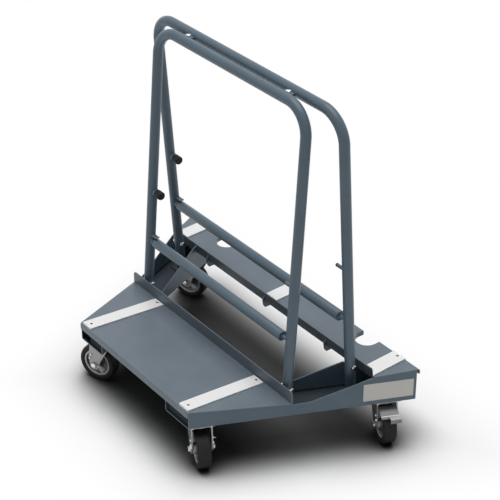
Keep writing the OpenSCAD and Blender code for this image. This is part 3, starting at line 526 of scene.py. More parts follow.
def bolt(shell, matrix, diameter, grip, nut_h, tail=0.003):
    """A bolt along Z with its head below 0, its nut from the grip's end, and a thread beyond the nut.

    A tail under a millimetre is a plain end with a small chamfer."""
    across = 1.7 * diameter
    head = matrix @ Matrix.Rotation(math.pi, 4, "X")
    hexagon(shell, head, across, 0.65 * diameter)
    hexagon(shell, matrix @ Matrix.Translation((0, 0, grip)), across, nut_h)
    shank = [(0, -0.001), (diameter / 2, -0.001), (diameter / 2, grip + 0.001), (0, grip + 0.001)]
    shell.grid(placed(revolved(shank, 24), matrix))
    if tail > 0.001:
        top = matrix @ Matrix.Translation((0, 0, grip + nut_h - 0.0005))
        threaded_end(shell, top, diameter / 2, tail, 0.0015)
    else:
        r, end, half = diameter / 2, grip + nut_h + tail, tail / 2
        stub = [(0, grip), (r, grip), (r, end - half), (r - half, end), (0, end)]
        shell.grid(placed(revolved(stub, 24), matrix))


def bead(shell, path, flat, closed=False, radius=None):
    """A weld bead: a circle carried along a path, its radius swelling by a fifth with each ripple and
    falling as a square root at open ends."""
    sizes = bpy.context.scene.cart_sizes
    radius = radius or sizes.bead
    path = np.asarray(path, float)
    if closed:
        path = np.vstack([path, path[:1]])
    steps = np.linalg.norm(np.diff(path, axis=0), axis=1)
    place = np.concatenate([[0], np.cumsum(steps)])
    count = max(6, int(place[-1] / sizes.ripple * 4))
    at = np.linspace(0, place[-1], count, endpoint=not closed)
    line = np.stack([np.interp(at, place, path[:, k]) for k in range(3)], -1)
    ripple = np.abs(np.sin(at / sizes.ripple * math.pi))
    swell = 0.86 + 0.2 * ripple
    if not closed:
        ends = np.minimum(at, place[-1] - at) / (1.5 * radius)
        swell *= np.sqrt(np.clip(ends, 0.02, 1))
    outline = circle(radius, 10)[None] * swell[:, None, None]
    shell.grid(carried(line, flat, outline, closed), round_rows=closed, caps=not closed)


def slab(shell, matrix, low, high):
    """A block between two opposite corners, turned and moved by a matrix."""
    (x0, y0, z0), (x1, y1, z1) = low, high
    outline = [(x0, y0), (x1, y0), (x1, y1), (x0, y1)]
    points = np.array([[(x, y, z) for x, y in outline] for z in (z0, z1)])
    shell.grid(placed(points, matrix), caps=True)


def dome(shell, matrix, radius, height, rings=8, sides=28):
    """A round head along Z: a skirt, and above it a quarter ellipse, radius times cos a and height times
    a share that rises with sin a."""
    turn = np.linspace(0, math.pi / 2, rings)
    crown = np.stack([radius * np.cos(turn), height * (0.45 + 0.55 * np.sin(turn))], -1)
    shell.grid(placed(revolved(np.vstack([[0, 0], [radius, 0], crown]), sides), matrix))


def straight(start, end):
    """Two points as a path."""
    return np.array([start, end], float)


# Places

def hoop_matrix(hoop):
    """Puts X along the cart and Z up the hoop's plane, from its foot on the channel's floor."""
    back = math.atan((hoop.top_y - hoop.foot_y) / (HOOP_HEIGHT - FLOOR_Z))
    return Matrix.Translation((0, hoop.foot_y, FLOOR_Z)) @ Matrix.Rotation(-back, 4, "X")


def hoop_height_in_plane(hoop):
    """Length of the slanted line from the channel's floor to the top bar's axis."""
    return math.hypot(HOOP_HEIGHT - FLOOR_Z, hoop.top_y - hoop.foot_y)


def leg_point(hoop, side, z):
    """Point on a leg's axis at a height: a straight line from the foot to the top."""
    share = (z - FLOOR_Z) / (HOOP_HEIGHT - FLOOR_Z)
    x = hoop.foot_x + share * (hoop.top_x - hoop.foot_x)
    y = hoop.foot_y + share * (hoop.top_y - hoop.foot_y)
    return Vector((side * x, y, z))


def caster_matrix(name):
    """Puts X on a caster's trailing side, Y along its axle and the origin on the floor below its kingpin."""
    kingpin = JOINTS[name + "_swivel_turn"]["pos_m"]
    y = Vector(JOINTS[name + "_wheel_spin"]["axis"]).normalized()
    x = y.cross(Z_AXIS)
    return Matrix(((x[0], y[0], 0, kingpin[0]), (x[1], y[1], 0, kingpin[1]), (0, 0, 1, 0), (0, 0, 0, 1)))


def axle_matrix(name):
    """The caster's place moved to the middle of its axle, with Z along the axle."""
    return (caster_matrix(name) @ Matrix.Translation((CASTER_TRAIL, 0, WHEEL_R))
            @ Matrix.Rotation(-math.pi / 2, 4, "X"))


# Finishes

class Value:
    """A number socket of a material: arithmetic on it adds the Math nodes that work it out."""

    def __init__(self, shader, socket):
        self.shader = shader
        self.socket = socket

    def maths(self, operation, *values):
        """A Math node on these values."""
        return self.shader.node("ShaderNodeMath", {"operation": operation}, dict(enumerate(values)))

    def __add__(self, other):
        return self.maths("ADD", self, other)

    def __sub__(self, other):
        return self.maths("SUBTRACT", self, other)

    def __mul__(self, other):
        return self.maths("MULTIPLY", self, other)

    def __rsub__(self, other):
        return self.maths("SUBTRACT", other, self)

    __radd__ = __add__
    __rmul__ = __mul__

    def between(self, low, high):
        """0 below low, 1 above high, and a smooth rise between them."""
        return self.shader.node("ShaderNodeMapRange", {"interpolation_type": "SMOOTHSTEP"},
                                {0: self, 1: low, 2: high, 3: 0.0, 4: 1.0})

    def or_more(self, other):
        """The larger of two numbers."""
        return self.maths("MAXIMUM", self, other)


class Shader:
    """A material's node tree, filled by one method for every node."""

    def __init__(self, name, tree=None):
        if tree is None:
            self.material = bpy.data.materials.new(name)
            self.material.use_nodes = True
            tree = self.material.node_tree
        self.tree = tree
        self.surface = next((n for n in tree.nodes if n.type == "BSDF_PRINCIPLED"), None)

    def node(self, kind, settings=None, values=None, output=0):
        """Adds a node with its settings and then its sockets, and gives one of its outputs."""
        made = self.tree.nodes.new(kind)
        for name, setting in (settings or {}).items():
            setattr(made, name, setting)
        for place, value in (values or {}).items():
            self.feed(made.inputs[place], value)
        return Value(self, made.outputs[output])

    def feed(self, socket, value):
        """Links a value to a socket, or sets the socket to a plain number or colour."""
        if isinstance(value, Value):
            self.tree.links.new(value.socket, socket)
        else:
            socket.default_value = value

    def set(self, **values):
        """Feeds the main shader's sockets, named with underscores for spaces."""
        for name, value in values.items():
            self.feed(self.surface.inputs[name.replace("_", " ")], value)

    def place(self, scale=(1, 1, 1), turn=(0, 0, 0)):
        """The piece's own coordinates, stretched and turned."""
        own = self.node("ShaderNodeTexCoord", output="Object")
        if scale == (1, 1, 1) and turn == (0, 0, 0):
            return own
        return self.node("ShaderNodeMapping", None, {"Vector": own, "Scale": scale, "Rotation": turn})

    def noise(self, scale, detail=2.0, roughness=0.5, place=None):
        """Cloudy noise from 0 to 1 with so many lumps to the metre."""
        return self.node("ShaderNodeTexNoise", None, {
            "Vector": place or self.place(), "Scale": scale, "Detail": detail, "Roughness": roughness})

    def mix(self, share, low, high):
        """One colour where share is 0, the other where it is 1."""
        return self.node("ShaderNodeMix", {"data_type": "RGBA"}, {0: share, 6: low, 7: high}, output=2)

    def apart(self, place):
        """The three parts of a place."""
        made = self.tree.nodes.new("ShaderNodeSeparateXYZ")
        self.feed(made.inputs[0], place)
        return [Value(self, output) for output in made.outputs]

    def attribute(self, name):
        """A number that the mesh keeps at its points."""
        return self.node("ShaderNodeAttribute", {"attribute_name": name}, output="Fac")

    def bump(self, height, strength, distance):
        """A normal tilted by the slope of a height."""
        return self.node("ShaderNodeBump", None, {
            "Strength": strength, "Distance": distance, "Height": height})


def shade(colour, factor):
    """A colour made lighter or darker, with full cover."""
    return tuple(min(1.0, part * factor) for part in colour) + (1.0,)


def trough(shader):
    """Mask of the painted shade in the channels: 1 on a channel's front mouth plate, 0.85 on its floor and
    feet, and 0 on its webs and outside.

    The depth behind the end's plane is the half length at y less |x|, times the flare's cosine."""
    x, y, z = shader.apart(shader.place())
    depth = (half_length(0) + math.tan(FLARE) * y - x.maths("ABSOLUTE", x)) * math.cos(FLARE)
    inside = depth.between(CHANNEL_T - 0.0006, CHANNEL_T - 0.0003)
    beyond = depth.between(CHANNEL_W - CHANNEL_T + 0.0003, CHANNEL_W - CHANNEL_T + 0.0006)
    above = z.between(FLOOR_Z - 0.0006, FLOOR_Z - 0.0003)
    low = 1 - z.between(FLOOR_Z + 0.006, FLOOR_Z + 0.013)
    behind = y.between(MOUTH_Y + CHANNEL_T + 0.0003, MOUTH_Y + CHANNEL_T + 0.0006)
    return inside * (1 - beyond) * above * (0.85 * low * behind + (1 - behind))


def enamel(name, colour, scuffed=False, painted_trough_shade=False):
    """Semi-gloss paint: a slow change of tone and orange peel, on the decks dust and faint scratches, and
    in the channels painted shade that darkens and dulls the floor, feet and mouth plate."""
    shader = Shader(name)
    cloud = shader.noise(5, 3, 0.55)
    peel = shader.noise(650, 2, 0.5)
    tone = cloud.between(0.3, 0.7)
    base = shader.mix(tone, shade(colour, 0.94), shade(colour, 1.06))
    rough = 0.30 + 0.06 * tone
    if scuffed:
        dust = shader.noise(38, 7, 0.72).between(0.50, 0.78)
        drag = shader.noise(30, 5, 0.62, shader.place((9, 0.35, 1), (0, 0, 0.06)))
        line = drag.between(0.63, 0.72)
        base = shader.mix(0.07 * dust + 0.05 * line, base, shade(colour, 2.2))
        rough = 0.34 + 0.10 * dust + 0.06 * line
    if painted_trough_shade:
        # Painted shade: the channels' floor, feet and mouth plate are made darker and duller, as if the webs
        # and lip kept the light off
        trough_shade = trough(shader)
        base = shader.mix(trough_shade, base, shade(colour, 0.12))
        rough = rough + 0.45 * trough_shade
    shader.set(Base_Color=base, Roughness=rough, IOR=1.5, Specular_IOR_Level=0.3,
               Normal=shader.bump(peel, 0.10, 0.0004))
    return shader.material


def moulded(name, colour):
    """White wear plastic: planed lines along the strip, a soft sheen and a few grey rubs."""
    shader = Shader(name)
    lines = shader.noise(60, 4, 0.6, shader.place((14, 0.5, 4)))
    rubs = shader.noise(45, 6, 0.7).between(0.56, 0.80)
    base = shader.mix(0.5 * lines, shade(colour, 1.03), shade(colour, 0.95))
    base = shader.mix(0.16 * rubs, base, shade(colour, 0.62))
    shader.set(Base_Color=base, Roughness=0.42 + 0.12 * rubs, IOR=1.49,
               Normal=shader.bump(lines, 0.12, 0.0006))
    return shader.material


def plated(name, colour, metallic=0.92, rough=0.30):
    """Zinc: small crystals and clouds of slightly different tone, and a soft uneven mirror."""
    shader = Shader(name)
    spangle = shader.node("ShaderNodeTexVoronoi", None, {"Vector": shader.place(), "Scale": 420.0},
                          output="Distance")
    cloud = shader.noise(70, 4, 0.6)
    base = shader.mix(0.55 * cloud + 0.45 * spangle, shade(colour, 0.78), shade(colour, 1.14))
    shader.set(Base_Color=base, Metallic=metallic, Roughness=rough + 0.16 * cloud,
               Normal=shader.bump(cloud, 0.10, 0.0004))
    return shader.material


def pressed(name, colour, bright):
    """Pressed steel of a pedal: dull and dark, with painted light on the top of the tongue, which faces up.
    """
    shader = Shader(name)
    height = shader.apart(shader.place())[2]
    # Painted light: the tongue's upward top takes a near copy of the bright plating's colour
    reached = height.between(TONGUE_Z - 0.0006, TONGUE_Z - 0.0003)
    lit_tongue_top = reached * (1 - height.between(TONGUE_Z + 0.001, TONGUE_Z + 0.002))
    cloud = shader.noise(90, 4, 0.6)
    base = shader.mix(cloud, shade(colour, 0.75), shade(colour, 1.25))
    base = shader.mix(lit_tongue_top, base, shade(bright, 0.9))
    shader.set(Base_Color=base, Metallic=0.35, Roughness=0.38 + 0.16 * cloud,
               Normal=shader.bump(cloud, 0.10, 0.0004))
    return shader.material


def cast(name, colour, wheel=False, metallic=0.75):
    """Cast or blackened metal: a fine sandy skin; a wheel's dish is painted darker than its rim and hub, as
    shade in its recess.
    """
    shader = Shader(name)
    sand = shader.noise(1400, 3, 0.6)
    cloud = shader.noise(55, 4, 0.6)
    base = shader.mix(cloud, shade(colour, 0.85), shade(colour, 1.12))
    if wheel:
        radius = shader.attribute("radius")
        # Painted shade: the recessed dish between hub and rim is darkened
        dish = radius.between(0.0205, 0.0225) * (1 - radius.between(RIM_R - 0.0085, RIM_R - 0.0065))
        base = shader.mix(dish, base, shade(colour, 0.30))
    shader.set(Base_Color=base, Metallic=metallic, Roughness=0.42 + 0.14 * cloud,
               Normal=shader.bump(sand, 0.18, 0.0003))
    return shader.material


def rubber(name, colour, dusty):
    """Black rubber: a fine grain, and grey dust where it rolls."""
    shader = Shader(name)
    grain = shader.noise(1800, 2, 0.6)
    dust = shader.noise(60, 6, 0.65).between(0.42, 0.75)
    base = shader.mix(dusty * dust, shade(colour, 1.0), shade((0.13, 0.125, 0.115), 1.0))
    shader.set(Base_Color=base, Roughness=0.52 + 0.2 * dust, IOR=1.5, Specular_IOR_Level=0.22,
               Normal=shader.bump(grain, 0.15, 0.0002))
    return shader.material


def satin(name, colour):
    """Brushed plate: fine lines along it in a soft mirror."""
    shader = Shader(name)
    lines = shader.noise(90, 4, 0.6, shader.place((1, 1, 30)))
    base = shader.mix(lines, shade(colour, 0.93), shade(colour, 1.07))
    shader.set(Base_Color=base, Metallic=0.35, Roughness=0.42 + 0.10 * lines,
               Normal=shader.bump(lines, 0.06, 0.0003))
    return shader.material


FINISHES = {
    "frame_paint": ("frame_paint", lambda c: enamel("frame_paint", c.paint)),
    # The channels' enamel carries painted shade on its floor, feet and mouth plate
    "channel_paint": ("frame_paint", lambda c: enamel("channel_paint", c.paint, painted_trough_shade=True)),
    # The decks use the lighter copy of the frame's paint as painted light
    "deck_paint": ("deck_paint", lambda c: enamel("deck_paint", c.deck, scuffed=True)),
    "strip": ("strip", lambda c: moulded("wear_strip_plastic", c.strip)),
    "zinc": ("zinc", lambda c: plated("dull_zinc", c.zinc)),
    "bright": ("zinc", lambda c: plated("bright_zinc", c.bright, 1.0, 0.14)),
    # The pedal's lit top takes the bright plating's colour as painted light
    "pedal": ("zinc", lambda c: pressed("pressed_steel", c.pedal, c.bright)),
    "rim": ("rim", lambda c: cast("cast_rim", c.rim, wheel=True)),
    "tyre": ("tyre", lambda c: rubber("tyre_rubber", c.tyre, 0.07)),
    "black_rubber": ("black_rubber", lambda c: rubber("black_cap", c.cap, 0.05)),
    "dark_steel": (None, lambda c: cast("blackened_steel", c.screw, metallic=0.1)),
    # The levers' near-white pads are a painted highlight on each tab, not a real tread
    "tread": (None, lambda c: moulded("white_highlight_pad", [1.1 * part for part in c.strip])),
    "label": ("label", lambda c: satin("bare_plate", c.label)),
}
MADE = {}


def material(finish):
    """The material of a finish, made when it is first asked for."""
    if finish not in MADE:
        _, make = FINISHES[finish]
        MADE[finish] = make(bpy.context.scene.cart_colours)
    return MADE[finish]


# Pieces

class CART_OT_decks(bpy.types.Operator):
    """Folds both decks and softens the ribs under the high one"""

    bl_idname = "cart.decks"
    bl_label = "Decks and ribs"

    def execute(self, context):
        bend = context.scene.cart_sizes.bend
        inside = bend - DECK_T
        flange_z, lip_z = FRONT_INNER_Z + FRONT_FLANGE_H, FRONT_OUTER_Z - FRONT_LIP_H
        front = [((0, FRONT_Y, FRONT_OUTER_Z), X_AXIS, bend),
                 ((0, FRONT_Y + DECK_T, front_z(FRONT_Y + DECK_T) - DECK_T), X_AXIS, inside),
                 ((0, FRONT_INNER_Y, FRONT_INNER_Z - DECK_T), X_AXIS, bend),
                 ((0, FRONT_INNER_Y - DECK_T, front_z(FRONT_INNER_Y - DECK_T)), X_AXIS, inside)]
        rear = [((0, REAR_Y, REAR_OUTER_Z), X_AXIS, bend),
                ((0, REAR_Y - DECK_T, rear_z(REAR_Y - DECK_T) - DECK_T), X_AXIS, inside)]
        for side in SIDES:
            run = (side * math.tan(FLARE), 1, 0)
            front += [((side * half_length(FRONT_INNER_Y), FRONT_INNER_Y, flange_z), run, FLANGE_END_R),
                      ((side * half_length(FRONT_Y), FRONT_Y, lip_z), run, LIP_END_R)]
            rear += [((side * half_length(REAR_CORNER_Y), REAR_CORNER_Y, 0), Z_AXIS, DECK_CORNER_R),
                     ((side * (half_length(REAR_CORNER_Y) - REAR_CORNER_RUN), REAR_INNER_Y, 0),
                      Z_AXIS, DECK_CORNER_R)]
        formed("front_deck", "deck_paint", front)
        formed("rear_deck", "deck_paint", rear)
        formed("deck_ribs", "frame_paint")
        self.corner_flanges()
        return {"FINISHED"}

    def corner_flanges(self):
        """The rear deck's flange goes on below the slanted edges, as far as the outer webs."""
        shell = Shell()
        for side in SIDES:
            start = Vector((side * (half_length(REAR_CORNER_Y) - REAR_CORNER_RUN), REAR_INNER_Y, 0))
            end = Vector((side * half_length(REAR_CORNER_Y), REAR_CORNER_Y, 0))
            run = (end - start).normalized()
            back = Vector((-side * run.y, side * run.x, 0))
            length = (end - start).length - (CHANNEL_T + CORNER_FLANGE_T) / math.cos(FLARE)
            place = Matrix(((run.x, back.x, 0, start.x), (run.y, back.y, 0, start.y),
                            (0, 0, 1, 0), (0, 0, 0, 1)))
            low, high = REAR_INNER_Z - REAR_FLANGE_H, rear_z(REAR_CORNER_Y) - DECK_T + 0.0005
            slab(shell, place, (0, 0, low), (length, CORNER_FLANGE_T, high))
        piece = shell.piece("corner_flanges", "deck_paint")
        soften(piece)


class CART_OT_channels(bpy.types.Operator):
    """Folds the two flared end channels"""

    bl_idname = "cart.channels"
    bl_label = "End channels"

    def execute(self, context):
        bend = context.scene.cart_sizes.bend
        for side, node in ((1, "right_end_channel"), (-1, "left_end_channel")):
            run = (side * math.tan(FLARE), 1, 0)
            folds = []
            for depth, z, radius in ((0, CASTER_HEIGHT, bend), (CHANNEL_T, FLOOR_Z, bend - CHANNEL_T),
                                     (CHANNEL_W, CASTER_HEIGHT, bend),
                                     (CHANNEL_W - CHANNEL_T, FLOOR_Z, bend - CHANNEL_T)):
                x = half_length(0) - depth / math.cos(FLARE)
                folds.append(((side * x, 0, z), run, radius))
            formed(node, "channel_paint", folds)
        return {"FINISHED"}


class CART_OT_strips(bpy.types.Operator):
    """Rounds the white wear strips and sets their cross-slotted screws"""

    bl_idname = "cart.strips"
    bl_label = "Wear strips and screws"

    corner: bpy.props.FloatProperty(
        name="Corner", description="Radius of a strip's corners seen from above",
        default=0.005, min=0.001, max=0.015, unit="LENGTH", subtype="DISTANCE")

    def execute(self, context):
        start, end = FRONT_STRIP_Y
        folds = []
        for side in SIDES:
            for reach in SIDES:
                x = side * FRONT_STRIP_X + reach * FRONT_STRIP_W / 2
                folds.append(((x, start, front_z(start)), (0, 0.002, STRIP_T), self.corner))
                folds.append(((x, end, front_z(end)), Z_AXIS, self.corner))
        formed("front_wear_strips", "strip", folds, edge=STRIP_EDGE)
        formed("rear_wear_strips", "strip", edge=STRIP_EDGE)
        places = [(side * FRONT_STRIP_X, y, front_z(y)) for side in SIDES for y in FRONT_SCREW_Y]
        places += [(k * REAR_STRIP_X, REAR_SCREW_Y, rear_z(REAR_SCREW_Y)) for k in (-1, 0, 1)]
        shell = Shell()
        for count, (x, y, z) in enumerate(places):
            turn = Matrix.Rotation(0.7 * count, 4, "Z")
            self.screw(shell, Matrix.Translation((x, y, z + STRIP_T - 0.002)) @ turn)
        shell.piece("strip_screws_slotted", "dark_steel", stands_for=("strip_screws",), sharp=50)
        return {"FINISHED"}

    def screw(self, shell, matrix, rings=12, steps=48):
        """A flat dome, height less a share of r squared, with a cross cut near the middle where |x| or |y|
        is small."""
        wide = STRIP_SCREW_D / 2
        r = np.linspace(0, wide, rings)[:, None]
        angle = np.arange(steps) * 2 * math.pi / steps
        x, y = r * np.cos(angle), r * np.sin(angle)
        height = 0.0016 * (1 - 0.55 * (r / wide) ** 2)
        arm = np.minimum(np.abs(x), np.abs(y)) < 0.0007
        slot = arm & (r < 0.62 * wide)
        top = np.stack([x, y, height - 0.0011 * slot + 0 * x], -1)
        skirt = revolved([(wide, -0.0002), (wide / 2, -0.0018), (wide / 2, -0.003), (0, -0.003)], steps)
        shell.grid(placed(np.concatenate([top, skirt]), matrix))


class CART_OT_end_plate(bpy.types.Operator):
    """Finishes the bare plate on the right end"""

    bl_idname = "cart.end_plate"
    bl_label = "Bare end plate"

    def execute(self, context):
        formed("label_plate", "label", edge=0.0003)
        return {"FINISHED"}


class CART_OT_hoops(bpy.types.Operator):
    """Bends the two tube hoops and joins their tops with bolted ties"""

    bl_idname = "cart.hoops"
    bl_label = "Hoops and ties"

    def execute(self, context):
        sizes = context.scene.cart_sizes
        for name, hoop in HOOPS.items():
            matrix = hoop_matrix(hoop)
            height = hoop_height_in_plane(hoop)
            corners = [(hoop.foot_x, 0, FOOT_PLATE_T), (hoop.top_x, 0, height),
                       (-hoop.top_x, 0, height), (-hoop.foot_x, 0, FOOT_PLATE_T)]
            path = placed(rounded(corners, BEND_R, 28, closed=False), matrix)
            flat = matrix.to_3x3() @ Y_AXIS
            outer = carried(path, flat, circle(TUBE_R, sizes.tube_sides))
            inner = carried(path, flat, circle(TUBE_BORE_R, sizes.tube_sides))
            shell = Shell()
            shell.grid(np.concatenate([outer, inner[::-1]]), round_rows=True)
            shell.piece(name + "_hoop_bent", "frame_paint", stands_for=(name + "_hoop",))
        self.ties()
        return {"FINISHED"}

    def ties(self):
        """The lapped tie plates, their weld beads along the bars and their bolts."""
        formed("front_top_ties", "frame_paint", edge=0.0006)
        formed("rear_top_ties", "frame_paint", edge=0.0006)
        beads, bolts = Shell(), Shell()
        for side in SIDES:
            place = Vector((side * TIE_X, TIE_Y, HOOP_HEIGHT + TIE_T))
            bolt(bolts, Matrix.Translation(place) @ Matrix.Rotation(math.pi, 4, "X"),
                 TIE_BOLT_D, 2 * TIE_T, 0.8 * TIE_BOLT_D)
            half = TIE_L / 2 - 0.002
            for hoop, back, low in ((HOOPS["front"], 1, 0), (HOOPS["rear"], -1, -TIE_T)):
                for z in (low, low + TIE_T):
                    y = hoop.top_y + back * math.sqrt(TUBE_R ** 2 - z ** 2)
                    bead(beads, straight((side * TIE_X - half, y, HOOP_HEIGHT + z),
                                         (side * TIE_X + half, y, HOOP_HEIGHT + z)), Z_AXIS, radius=0.002)
        beads.piece("tie_welds", "frame_paint", sharp=60)
        bolts.piece("top_tie_bolts_hex", "bright", stands_for=("top_tie_bolts",))


class CART_OT_feet(bpy.types.Operator):
    """Welds the hoops' feet to the channels and sets the cross bolts"""

    bl_idname = "cart.feet"
    bl_label = "Hoop feet and bolts"

    def execute(self, context):
        beads, bolts = Shell(), Shell()
        for name, hoop in HOOPS.items():
            formed(name + "_hoop_feet", "channel_paint")
            for side in SIDES:
                middle = leg_point(hoop, side, hoop.bolt_z) + X_AXIS * TUBE_R
                bolt(bolts, along(middle, -X_AXIS, Y_AXIS), FOOT_BOLT_D, TUBE_D, 0.8 * FOOT_BOLT_D)
                foot = leg_point(hoop, side, FLOOR_Z + FOOT_PLATE_T + 0.0008)
                ring = np.pad(circle(TUBE_R + 0.0008, 48), ((0, 0), (0, 1))) + np.array(foot)
                bead(beads, ring, Z_AXIS, closed=True)
                start = hoop.foot_y - FOOT_PLATE_AHEAD + 0.004
                stop = hoop.foot_y + FOOT_PLATE_BEHIND - 0.004
                for end in SIDES:
                    x = side * hoop.foot_x + end * FOOT_PLATE_W / 2
                    bead(beads, straight((x, start, FLOOR_Z + 0.001), (x, stop, FLOOR_Z + 0.001)), Z_AXIS)
        beads.piece("foot_welds", "frame_paint", sharp=60)
        bolts.piece("foot_bolts_hex", "bright", stands_for=("foot_bolts",))
        return {"FINISHED"}


class CART_OT_bars(bpy.types.Operator):
    """Makes the lift-out cross bars, and the stubs, caps, pins and tips that hold them"""

    bl_idname = "cart.bars"
    bl_label = "Cross bars"

    def execute(self, context):
        sides = context.scene.cart_sizes.tube_sides
        beads, caps, tips = Shell(), Shell(), Shell()
        for name, hoop in HOOPS.items():
            leg = leg_point(hoop, 1, hoop.bar_z)
            left, right = -leg.x + TUBE_R + BAR_LEFT_GAP, leg.x - TUBE_R - BAR_RIGHT_GAP
            length = right - left
            place = along((left, leg.y, hoop.bar_z), X_AXIS, Z_AXIS)
            wall = rounded([(TUBE_BORE_R, 0), (TUBE_R, 0), (TUBE_R, length), (TUBE_BORE_R, length)],
                           0.0008, 3)
            bar = Shell().grid(placed(revolved(wall, sides), place), round_rows=True)
            bar.piece(name + "_cross_bar_tube", "frame_paint", name + "_bar", (name + "_cross_bar",))
            z0, z1 = length - PLUG_T - PLUG_IN, length - PLUG_IN
            hole = PIN_D / 2 + SLIDE_GAP
            disc = rounded([(hole, z0), (TUBE_BORE_R, z0), (TUBE_BORE_R, z1), (hole, z1)], 0.0008, 3)
            plug = Shell().grid(placed(revolved(disc, 48), place), round_rows=True)
            plug.piece(f"{name}_bar_end_plug", "frame_paint", name + "_bar", (f"bar_end_plugs_{name}",))
            for z in (hoop.bar_z, hoop.bar_z + STUB_RISE):
                self.stub(beads, caps, hoop, z)
                self.pin(beads, tips, hoop, z)
        formed("bar_stubs", "frame_paint", edge=0.0005)
        formed("bar_pins", "frame_paint", edge=0.0005)
        beads.piece("station_welds", "frame_paint", sharp=60)
        caps.piece("stub_caps_moulded", "black_rubber", stands_for=("stub_caps",))
        tips.piece("pin_tips_moulded", "black_rubber", stands_for=("pin_tips",))
        return {"FINISHED"}

    def ring(self, beads, centre, radius, inward):
        """The bead where a rod meets a leg: round the rod, at the leg's half chord beside its axis."""
        angle = np.arange(40) * 2 * math.pi / 40
        across, up = radius * np.cos(angle), radius * np.sin(angle)
        out = np.sqrt(TUBE_R ** 2 - across ** 2) + 0.0005
        ring = np.array(centre) + np.stack([inward * out, across, up], -1)
        bead(beads, ring, X_AXIS, closed=True, radius=0.002)

    def stub(self, beads, caps, hoop, z):
        """A bead round the stub's neck, and its cap with a round shoulder."""
        centre = leg_point(hoop, -1, z)
        outer = TUBE_BORE_R - SLIDE_GAP
        neck = outer - STUB_STEP
        self.ring(beads, centre, neck + 0.001, 1)
        line = [(neck, 0), (outer, 0), (outer, STUB_CAP_L), (0, STUB_CAP_L)]
        profile = rounded(line, [0, 0.001, 0.005, 0], 6, closed=False)
        closing = [(0, STUB_CAP_L - STUB_CAP_T), (neck, STUB_CAP_L - STUB_CAP_T)]
        place = along(centre + X_AXIS * (TUBE_R + STUB_NECK), X_AXIS, Z_AXIS)
        caps.grid(placed(revolved(np.concatenate([profile, closing]), 48), place), round_rows=True)

    def pin(self, beads, tips, hoop, z):
        """A bead round the pin, and its tip with a round end."""
        centre = leg_point(hoop, 1, z)
        self.ring(beads, centre, PIN_D / 2 + 0.001, -1)
        length = BAR_RIGHT_GAP + PIN_ENGAGE
        place = along(centre - X_AXIS * (TUBE_R + length - PIN_TIP_L), -X_AXIS, Z_AXIS)
        line = [(0, 0), (PIN_D / 2, 0), (PIN_D / 2, PIN_TIP_L), (0, PIN_TIP_L)]
        tips.grid(placed(revolved(rounded(line, [0, 0.0005, 0.0035, 0], 6, closed=False), 40), place))


